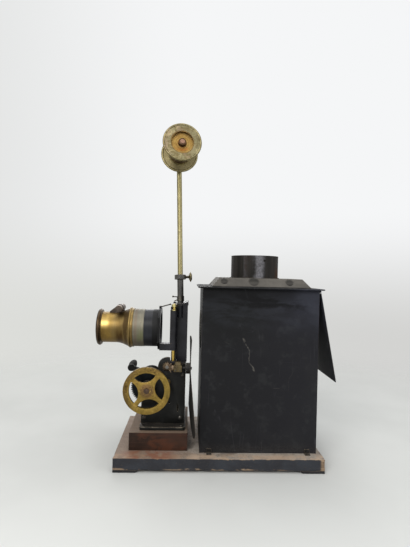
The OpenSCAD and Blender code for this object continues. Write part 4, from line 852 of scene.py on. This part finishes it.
def bare_copy(name):
    """The CAD node's own mesh with its points merged, for more work."""
    bm = bmesh.new()
    bm.from_mesh(nodes[name].data)
    bmesh.ops.remove_doubles(bm, verts=bm.verts, dist=2e-6)
    return bm

def rounded_copy(name, width, segments=2, angle=32):
    """The CAD node with its hard edges rounded over to width metres."""
    bm = bare_copy(name)
    bmesh.ops.dissolve_limit(bm, angle_limit=math.radians(0.8), verts=bm.verts, edges=bm.edges)
    work = add_object("work", mesh_of(bm, name))
    bevel = work.modifiers.new("edges", "BEVEL")
    bevel.width = width
    bevel.segments = segments
    bevel.limit_method = "ANGLE"
    bevel.angle_limit = math.radians(angle)
    mesh = settle(work, name + "_rounded")
    smooth_by_angle(mesh)
    return new_piece(name + "_rounded", mesh, slot_of[name], body_of[name], name)

# %% Round the castings and the wheel
for name, width in [
    ("hand_wheel", 0.0009), ("foot_flange", 0.0009), ("side_plate_near", 0.0004), ("side_plate_far", 0.0004),
    ("crank_arm", 0.0006), ("bearing_block", 0.0005), ("battens", 0.0008),
]:
    piece = rounded_copy(name, width)
    print(piece.name, len(piece.data.polygons))

# %% [markdown]
# ## The worn board and plinth
# Their corners are not cut to one radius: a century of knocks has taken bites out of them. Each
# block is a grid whose lines crowd towards its edges, and every point near an edge is pulled onto
# a round whose radius follows a noise, so a bite is just a place where the radius is large.

# %% Build a knocked-about wooden block
def crowded(low, high, radius, step):
    """Grid lines from low to high: fine within the edge's radius and step apart between."""
    near = [0.0, 0.2, 0.45, 0.75, 1.1]
    inner_low, inner_high = low + 1.1 * radius, high - 1.1 * radius
    count = max(1, round((inner_high - inner_low) / step))
    middle = [inner_low + (inner_high - inner_low) * i / count for i in range(1, count)]
    return [low + n * radius for n in near] + middle + [high - n * radius for n in reversed(near)]

def knocked_block(name, low, high, radius, bites, step, seed):
    lines = [crowded(low[i], high[i], radius * 2.2, step) for i in range(3)]
    bm = bmesh.new()
    for axis in range(3):
        for side, flat in enumerate((low[axis], high[axis])):
            rows = [
                [bm.verts.new(([flat, u, v] * 2)[3 - axis:6 - axis]) for v in lines[(axis + 2) % 3]]
                for u in lines[(axis + 1) % 3]
            ]
            for here, there in zip(rows, rows[1:]):
                for j in range(len(here) - 1):
                    face = (here[j], there[j], there[j + 1], here[j + 1])
                    bm.faces.new(face if side else face[::-1])
    bmesh.ops.remove_doubles(bm, verts=bm.verts, dist=1e-6)
    offset = Vector((seed * 3.1, seed * 1.7, seed * 2.3))
    for vert in bm.verts:
        p = vert.co
        rough = noise.noise(p * 55 + offset) * 0.6 + noise.noise(p * 170 + offset) * 0.5
        r = radius * (0.75 + 0.5 * max(0.0, rough)) + bites * max(0.0, rough - 0.28) ** 1.3
        r = min(r, radius * 2.2)
        core = Vector([min(max(p[i], low[i] + r), high[i] - r) for i in range(3)])
        away = p - core
        if away.length > r:
            vert.co = core + away.normalized() * r
        flat = noise.noise(p * 24 + offset) * 0.5 + noise.noise(p * 90 + offset) * 0.3
        vert.co -= away.normalized() * abs(flat) * radius * 0.18 if away.length else Vector()
    bmesh.ops.recalc_face_normals(bm, faces=bm.faces)
    mesh = mesh_of(bm, name)
    smooth_by_angle(mesh, 50)
    return mesh

for name, node, box, slot, *knocks in (
    ("worn_board", "baseboard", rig.box("baseboard"), "board_wood", 0.0011, 0.011, 0.0032, 4),
    ("worn_plinth", "plinth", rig.box("plinth"), "plinth_wood", 0.0006, 0.004, 0.0035, 9),
):
    mesh = knocked_block(name, *box, *knocks)
    new_piece(name, mesh, slot, "frame", node)
    print(name, "faces:", len(mesh.polygons))

# %% [markdown]
# ## Geometry Nodes, with a short way to write them
# Screws, knurls and rolled edges repeat or follow a path. A tree is built through the same node
# method as the shaders, its sizes are named inputs, and its result becomes a plain mesh.

# %% A geometry tree and its inputs
class Tree(Nodes):
    def __init__(self, name, sizes):
        self.tree = bpy.data.node_groups.new(name, "GeometryNodeTree")
        face = self.tree.interface
        face.new_socket("Geometry", in_out="OUTPUT", socket_type="NodeSocketGeometry")
        face.new_socket("Geometry", in_out="INPUT", socket_type="NodeSocketGeometry")
        self.ids = {}
        for label, value in sizes.items():
            kind = "NodeSocketInt" if isinstance(value, int) else "NodeSocketFloat"
            socket = face.new_socket(label, in_out="INPUT", socket_type=kind)
            socket.default_value = value
            self.ids[label] = socket.identifier
        self.sizes = dict(sizes)
        self.geometry = self.node("NodeGroupInput")
        self.end = self.tree.nodes.new("NodeGroupOutput")

    def size(self, label):
        return Value(self, self.geometry.socket.node.outputs[label])

    def vector(self, x, y, z):
        return self.node("ShaderNodeCombineXYZ", None, {0: x, 1: y, 2: z})

    def move(self, geometry, **how):
        return self.node("GeometryNodeTransform", None, {"Geometry": geometry, **how})

    def close(self, geometry, material):
        real = self.node("GeometryNodeRealizeInstances", None, {0: geometry})
        done = self.node("GeometryNodeSetMaterial", None, {"Geometry": real, "Material": material})
        self.feed(self.end.inputs[0], done)

    def grow(self, name, mesh=None, **sizes):
        """The plain mesh that the tree makes on mesh with these sizes."""
        work = add_object("work", mesh or bpy.data.meshes.new("seed"))
        modifier = work.modifiers.new("tree", "NODES")
        modifier.node_group = self.tree
        for label, identifier in self.ids.items():
            modifier[identifier] = sizes.get(label, self.sizes[label])
        return settle(work, name)

# %% [markdown]
# ## Slotted screws
# Each screw is a low dome with a slot sawn across it. Real slots never line up, so every screw
# has its own turn. The places, directions, turns and sizes are stored on loose points, and the
# tree puts one screw on each point.

# %% The screw tree
def screw_tree(material):
    t = Tree("slotted_screws", {"Dome": 0.5, "Slot": 0.2, "Depth": 0.26})
    dome = t.node("GeometryNodeMeshUVSphere", None, {"Segments": 28, "Rings": 12, "Radius": 1.0})
    dome = t.move(dome, Scale=t.vector(1.0, 1.0, t.size("Dome")))
    below = t.node("GeometryNodeMeshCube", None, {"Size": (3.0, 3.0, 2.0)})
    below = t.move(below, Translation=(0.0, 0.0, -1.0))
    saw = t.node("GeometryNodeMeshCube", None, {"Size": t.vector(3.0, t.size("Slot"), t.size("Depth") * 2.0)})
    saw = t.move(saw, Translation=t.vector(0.0, 0.0, t.size("Dome")))
    head = t.node("GeometryNodeMeshBoolean", {"operation": "DIFFERENCE"}, {"Mesh 1": dome, "Mesh 2": below})
    t.feed(head.socket.node.inputs["Mesh 2"], saw)
    facing, turn, size = (
        t.node("GeometryNodeInputNamedAttribute", {"data_type": kind}, {"Name": label})
        for label, kind in (("facing", "FLOAT_VECTOR"), ("turn", "FLOAT"), ("size", "FLOAT"))
    )
    aim = t.node("FunctionNodeAlignRotationToVector", {"axis": "Z"}, {"Vector": facing})
    spin = t.node("FunctionNodeAxisAngleToRotation", None, {"Axis": (0.0, 0.0, 1.0), "Angle": turn})
    both = {"Rotation": aim, "Rotate By": spin}
    aim = t.node("FunctionNodeRotateRotation", {"rotation_space": "LOCAL"}, both)
    spread = {"Points": t.geometry, "Instance": head, "Rotation": aim, "Scale": size}
    t.close(t.node("GeometryNodeInstanceOnPoints", None, spread), material)
    return t

def screws(name, slot, body, places, *stands_for):
    """places holds (point, direction, turn in degrees, radius), in millimetres."""
    points = bpy.data.meshes.new("points")
    points.from_pydata([Vector(p) / 1000 for p, _, _, _ in places], [], [])
    columns = {
        "facing": ("FLOAT_VECTOR", "vector", [c for _, direction, _, _ in places for c in direction]),
        "turn": ("FLOAT", "value", [math.radians(degrees) for _, _, degrees, _ in places]),
        "size": ("FLOAT", "value", [radius / 1000 for _, _, _, radius in places]),
    }
    for label, (kind, field, values) in columns.items():
        points.attributes.new(label, kind, "POINT").data.foreach_set(field, values)
    mesh = screw_tree(finishes[slot]).grow(name, points)
    smooth_by_angle(mesh, 40)
    return new_piece(name, mesh, slot, body, *stands_for)

# %% Screws of the gear frame
def round_point(radius, degrees):
    return radius * math.cos(math.radians(degrees)), radius * math.sin(math.radians(degrees))

def in_mm(box):
    return [Vector(corner) * 1000 for corner in box]

flange_low, flange_high = in_mm(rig.box("foot_flange"))
plate_low, plate_high = in_mm(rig.box("side_plate_near"))
far_low, far_high = in_mm(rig.box("side_plate_far"))
IN_X, IN_Y = 4.0, 7.5
frame_places = [
    ((x, y, flange_high.z), (0, 0, 1), turn, 3.5)
    for x, y, turn in [
        (plate_low.x + IN_X, flange_low.y + IN_Y, 20), (plate_high.x - IN_X, flange_low.y + IN_Y, -35),
        (plate_low.x + IN_X, flange_high.y - IN_Y, 70), (plate_high.x - IN_X, flange_high.y - IN_Y, 5),
    ]
]
pillars = [(plate_low.x + 6, 56, 15), (plate_high.x - 6, 56, 62), (plate_high.x - 4, 117, -20), (-84, 70, 40)]
for x, z, turn in pillars:
    frame_places.append(((x, plate_low.y, z), (0, -1, 0), turn, 3.1))
    frame_places.append(((x, far_high.y, z), (0, 1, 0), -turn, 3.1))
screws("frame_screw_heads", "old_steel", "frame", frame_places, "frame_screws")
print("screw heads:", len(frame_places))

# %% Screws of the bearing block, lens carrier and condenser cell
bearing_low, bearing_high = in_mm(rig.box("bearing_block"))
screws("bearing_screws", "old_steel", "frame", [
    ((bearing_low.x + 2.4, bearing_low.y, bearing_low.z + 2.0), (0, -1, 0), 30, 1.1),
    ((bearing_high.x - 2.4, bearing_low.y, bearing_low.z + 2.0), (0, -1, 0), -55, 1.1),
])
AXIS_Z = 179.0
CARRIER_X = -89.5
screws("carrier_screws", "old_steel", "lens_door", [
    ((CARRIER_X, s * 25.2, AXIS_Z + t * 25.2 * 0.72), (-1, 0, 0), 40 * s + 15 * t, 1.6)
    for s in (-1, 1) for t in (-1, 1)
])
screws("cell_screws", "old_steel", "frame", [
    ((-24.2, y, AXIS_Z + z), (1, 0, 0), a * 3, 1.7)
    for a in (30, 90, 150, 210, 270, 330) for y, z in [round_point(30.7, a)]
])
print("small screws made")

# %% [markdown]
# ## Knurled focusing knobs
# The two drums on the pinion's spindle are knurled so that a finger can turn them: every second
# point round a drum lies a little deeper. One drum goes to each end of the spindle.

# %% The knurled drum tree
def knurl_tree(material):
    t = Tree("knurled_drums", {
        "Ribs": 30, "Radius": 0.0053, "Length": 0.01, "Cut": 0.0004, "Reach": 0.014, "X": 0.0, "Z": 0.0})
    radius, length = t.size("Radius"), t.size("Length")
    drum = t.node("GeometryNodeMeshCylinder", {"fill_type": "NGON"}, {
        "Vertices": t.size("Ribs") * 2.0, "Side Segments": 3, "Radius": radius, "Depth": length})
    place = t.node("GeometryNodeInputPosition")
    odd = t.node("GeometryNodeInputIndex") % 2.0
    rim = abs(t.part(place, 2)) / length > 0.4
    pull = t.size("Cut") / radius
    inward = 1.0 - (odd * pull + rim * pull)
    carved = t.vector_sum("MULTIPLY", place, t.vector(inward, inward, 1.0), 0)
    shaped = t.node("GeometryNodeSetPosition", None, {"Geometry": drum, "Position": carved})
    pair = t.tree.nodes.new("GeometryNodeJoinGeometry")
    for side in (-1.0, 1.0):
        spot = t.vector(t.size("X"), t.size("Reach") * side, t.size("Z"))
        t.feed(pair.inputs[0], t.move(shaped, Translation=spot, Rotation=(math.pi / 2, 0.0, 0.0)))
    t.close(Value(t, pair.outputs[0]), material)
    return t

knob_low, knob_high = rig.box("focus_pinion")
knob_x, knob_z = (knob_low[0] + knob_high[0]) / 2, (knob_low[2] + knob_high[2]) / 2
drums = knurl_tree(finishes["knob_brass"]).grow("drums", X=knob_x, Z=knob_z)
bm = bare_copy("focus_pinion")
gone = [
    v for v in bm.verts
    if abs(v.co.y) > 0.0089 and (v.co.x - knob_x) ** 2 + (v.co.z - knob_z) ** 2 > 0.002 ** 2
]
bmesh.ops.delete(bm, geom=gone, context="VERTS")
bm.from_mesh(drums)
knobs_mesh = mesh_of(bm, "knurled_knobs")
smooth_by_angle(knobs_mesh, 30)
knobs = new_piece("knurled_knobs", knobs_mesh, "knob_brass", "focus_knob", "focus_pinion")
print("knob faces:", len(knobs_mesh.polygons))

# %% [markdown]
# ## Rolled edges
# Thin sheet is stiffened by rolling its edge over a wire, as on the lip of the roof and the mouth
# of the chimney. Each is a round profile swept along a path, so one tree makes both.

# %% The rolled edge tree
def bead_tree(material):
    t = Tree("rolled_edge", {"Radius": 0.0008})
    path = t.node("GeometryNodeMeshToCurve", None, {0: t.geometry})
    profile = t.node("GeometryNodeCurvePrimitiveCircle", None, {"Resolution": 10, "Radius": t.size("Radius")})
    bead = t.node("GeometryNodeCurveToMesh", None, {0: path, 1: profile})
    bead = t.node("GeometryNodeSetShadeSmooth", None, {0: bead})
    t.close(bead, material)
    return t

def bead(name, slot, body, loop, radius):
    """loop holds the path's corners in millimetres, joined in a ring."""
    path = bpy.data.meshes.new("path")
    count = len(loop)
    path.from_pydata([Vector(p) / 1000 for p in loop], [(i, (i + 1) % count) for i in range(count)], [])
    return new_piece(name, bead_tree(finishes[slot]).grow(name, path, Radius=radius / 1000), slot, body)

roof_low, roof_high = in_mm(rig.box("roof"))
cap_low, cap_high = in_mm(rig.box("chimney_collar"))
cap_x = (cap_low.x + cap_high.x) / 2
LIP_Z = 243.1
CORNER = 2.5

def rounded_ring(low, high, z, corner, steps=5):
    ring = []
    centres = [(x, y) for x in (high.x - corner, low.x + corner) for y in (high.y - corner, low.y + corner)]
    for (x, y), start in zip([centres[i] for i in (0, 2, 3, 1)], (0, 90, 180, 270)):
        for i in range(steps + 1):
            u, v = round_point(corner, start + 90 * i / steps)
            ring.append((x + u, y + v, z))
    return ring

lip_ring = rounded_ring(roof_low, roof_high, LIP_Z, CORNER)
lip_bead = bead("roof_rolled_edge", "house_sheet", "frame", lip_ring, 0.95)
mouth = [(cap_x + x, y, cap_high.z - 0.2) for x, y in (round_point(34.6, a) for a in range(0, 360, 5))]
mouth_bead = bead("chimney_rolled_edge", "chimney_sheet", "frame", mouth, 0.7)
print("rolled edges:", len(lip_bead.data.polygons), len(mouth_bead.data.polygons))

# %% [markdown]
# ## Clips at the foot of the lamphouse
# Small black tongues hold the lamphouse to the board, two on each side. Each is a bent strip with
# one screw, which the picture shows as a dark lump at the foot of the sheet.

# %% Foot clips
house_low, house_high = in_mm(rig.box("house_sides"))
def clip(bm, x, y, out):
    """A bent strip: up the wall and out over the board."""
    t, wide, up, along = 0.9, 7.0, 6.0, 7.0
    outline = [(0, 0), (along, 0), (along, t), (t, t), (t, up), (0, up)]
    rows = []
    for s in (-wide / 2, wide / 2):
        rows.append([bm.verts.new(Vector((x + s, y + out * u, house_low.z + v)) / 1000) for u, v in outline])
    bm.faces.new(rows[0])
    bm.faces.new(rows[1][::-1])
    for i in range(len(outline)):
        j = (i + 1) % len(outline)
        bm.faces.new((rows[0][i], rows[1][i], rows[1][j], rows[0][j]))

bm = bmesh.new()
clip_xs = (house_low.x + 13, house_high.x - 13)
for x in clip_xs:
    clip(bm, x, house_low.y, -1)
    clip(bm, x, house_high.y, 1)
bmesh.ops.recalc_face_normals(bm, faces=bm.faces)
new_piece("foot_clips", mesh_of(bm, "foot_clips"), "frame_black", "frame")
screws("foot_clip_screws", "old_steel", "frame", [
    ((x, y + out * 4.4, house_low.z + 0.9), (0, 0, 1), 37 * out + x, 1.9)
    for x in clip_xs for y, out in ((house_low.y, -1), (house_high.y, 1))
])
print("foot clips:", 4)

# %% [markdown]
# ## Spring fingers of the burner
# The lamp glass stands in a ring of thin brass fingers that spring against it. One finger is bent
# from a strip, and the tree puts a dozen round the gallery.

# %% The finger tree
def finger_tree(material):
    t = Tree("gallery_fingers", {"Fingers": 12, "Ring": 0.0166, "X": 0.0, "Z": 0.0})
    line = t.node("GeometryNodeCurvePrimitiveBezierSegment", None, {
        "Start": (0.0, 0.0, 0.0), "Start Handle": (0.0025, 0.0, 0.004),
        "End Handle": (-0.0012, 0.0, 0.007), "End": (0.0008, 0.0, 0.012)})
    line = t.node("GeometryNodeResampleCurve", None, {"Curve": line, "Count": 8})
    strip = t.node("GeometryNodeCurvePrimitiveQuadrilateral", None, {0: 0.0036, 1: 0.0004})
    finger = t.node("GeometryNodeCurveToMesh", None, {0: line, 1: strip, "Fill Caps": True})
    ring = t.node("GeometryNodeMeshCircle", None, {"Vertices": t.size("Fingers"), "Radius": t.size("Ring")})
    outward = t.node("GeometryNodeInputPosition")
    aim = t.node("FunctionNodeAlignRotationToVector", {"axis": "X"}, {"Vector": outward})
    spread = {"Points": ring, "Instance": finger, "Rotation": aim}
    spread = t.node("GeometryNodeInstanceOnPoints", None, spread)
    t.close(t.move(spread, Translation=t.vector(t.size("X"), 0.0, t.size("Z"))), material)
    return t

glass_low, glass_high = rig.box("lamp_glass")
finger_mesh = finger_tree(finishes["burner_brass"]).grow(
    "gallery_fingers", X=(glass_low[0] + glass_high[0]) / 2, Z=glass_low[2] - 0.0012, Ring=0.0172)
fingers = new_piece("gallery_fingers", finger_mesh, "burner_brass", "lamp")
print("finger faces:", len(finger_mesh.polygons))

# %% [markdown]
# ## Floor, background and light
# The floor is one large pale disc whose far part fades into the background's colour, so no horizon
# shows from any side. The background's colour is seen by the camera and in reflections only, and
# soft lamps light the object.

# %% Floor and background
class Room(Nodes):
    """The same sums in the nodes of the world, where a place is a direction."""
    def __init__(self, world):
        world.use_nodes = True
        self.tree = world.node_tree
        self.find_place("Generated")

def seen_ray(f):
    """1 for camera, glossy and transmission rays."""
    rays = f.node("ShaderNodeLightPath").socket.node
    seen = [Value(f, rays.outputs["Is %s Ray" % kind]) for kind in ("Camera", "Glossy", "Transmission")]
    return (seen[0] + seen[1] + seen[2]).between(0.0, 1.0)

world = bpy.data.worlds.new("room")
bpy.context.scene.world = world
room = Room(world)
wall = mix(room, room.x.between(-0.6, 0.02), "#e0e1e0", "#f5f6f7")
low_wall = mix(room, room.x.between(-0.6, 0.5), "#dddeda", "#d3d3d1")
wall = mix(room, room.z.between(-0.14, 0.16), low_wall, wall)
room_light = mix(room, seen_ray(room), (0.40, 0.405, 0.41, 1), wall)
room.feed(room.tree.nodes["Background"].inputs["Color"], room_light)

ground = Finish("pale_floor")
ground.base = mix(ground, grain(ground, 6, 3).between(0.3, 0.7), "#c3c4c1", "#c9cac7")
# painted light: the floor is lighter in front, towards the camera
ground.paint(ground.y.between(-0.05, -0.3), "#d3d4d1")
ground.set(Roughness=0.9, Specular_IOR_Level=0.1)
far_off = ground.vector_sum("LENGTH", ground.place).between(0.3, 1.0)
ground.cover(far_off, ground.node("ShaderNodeBsdfTransparent"))

bm = bmesh.new()
bmesh.ops.create_circle(bm, cap_ends=True, radius=6, segments=96)
floor = add_object("floor", mesh_of(bm, "floor"))
floor.data.materials.append(ground.material)
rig.stage(floor)

# %% Soft lamps
def lamp(name, place, target, size, watts, colour=(1, 1, 1)):
    data = bpy.data.lights.new(name, "AREA")
    data.shape = "RECTANGLE"
    data.size, data.size_y = size
    data.energy = watts
    data.color = colour
    towards = (Vector(target) - Vector(place)).to_track_quat("-Z", "Y")
    add_object(name, data).matrix_world = Matrix.Translation(place) @ towards.to_matrix().to_4x4()

lamp("window", (-0.75, -1.5, 1.25), (0, 0, 0.2), (1.1, 0.9), 23, (1, 0.985, 0.96))
lamp("ceiling", (0.1, 0.1, 1.9), (0, 0, 0.1), (1.6, 1.6), 18, (0.98, 0.99, 1.0))
lamp("fill", (1.4, -0.9, 0.7), (0, 0, 0.2), (0.9, 0.9), 7, (0.95, 0.97, 1.0))
lamp("behind", (-0.4, 1.7, 0.9), (0, 0, 0.2), (1.2, 0.9), 10)
bpy.context.scene.view_settings.view_transform = "Standard"
print("lamps:", len([o for o in bpy.data.objects if o.type == "LIGHT"]))

# %% [markdown]
# ## Write down the sizes
# Both boxes, the CAD model's and the dressed model's, are written down.

# %% Sizes and the end
json.dump({"cad": [list(v) for v in cad_box], "visual": [list(v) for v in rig.bounds()]}, open("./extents.json", "w"))
print(open("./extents.json").read())
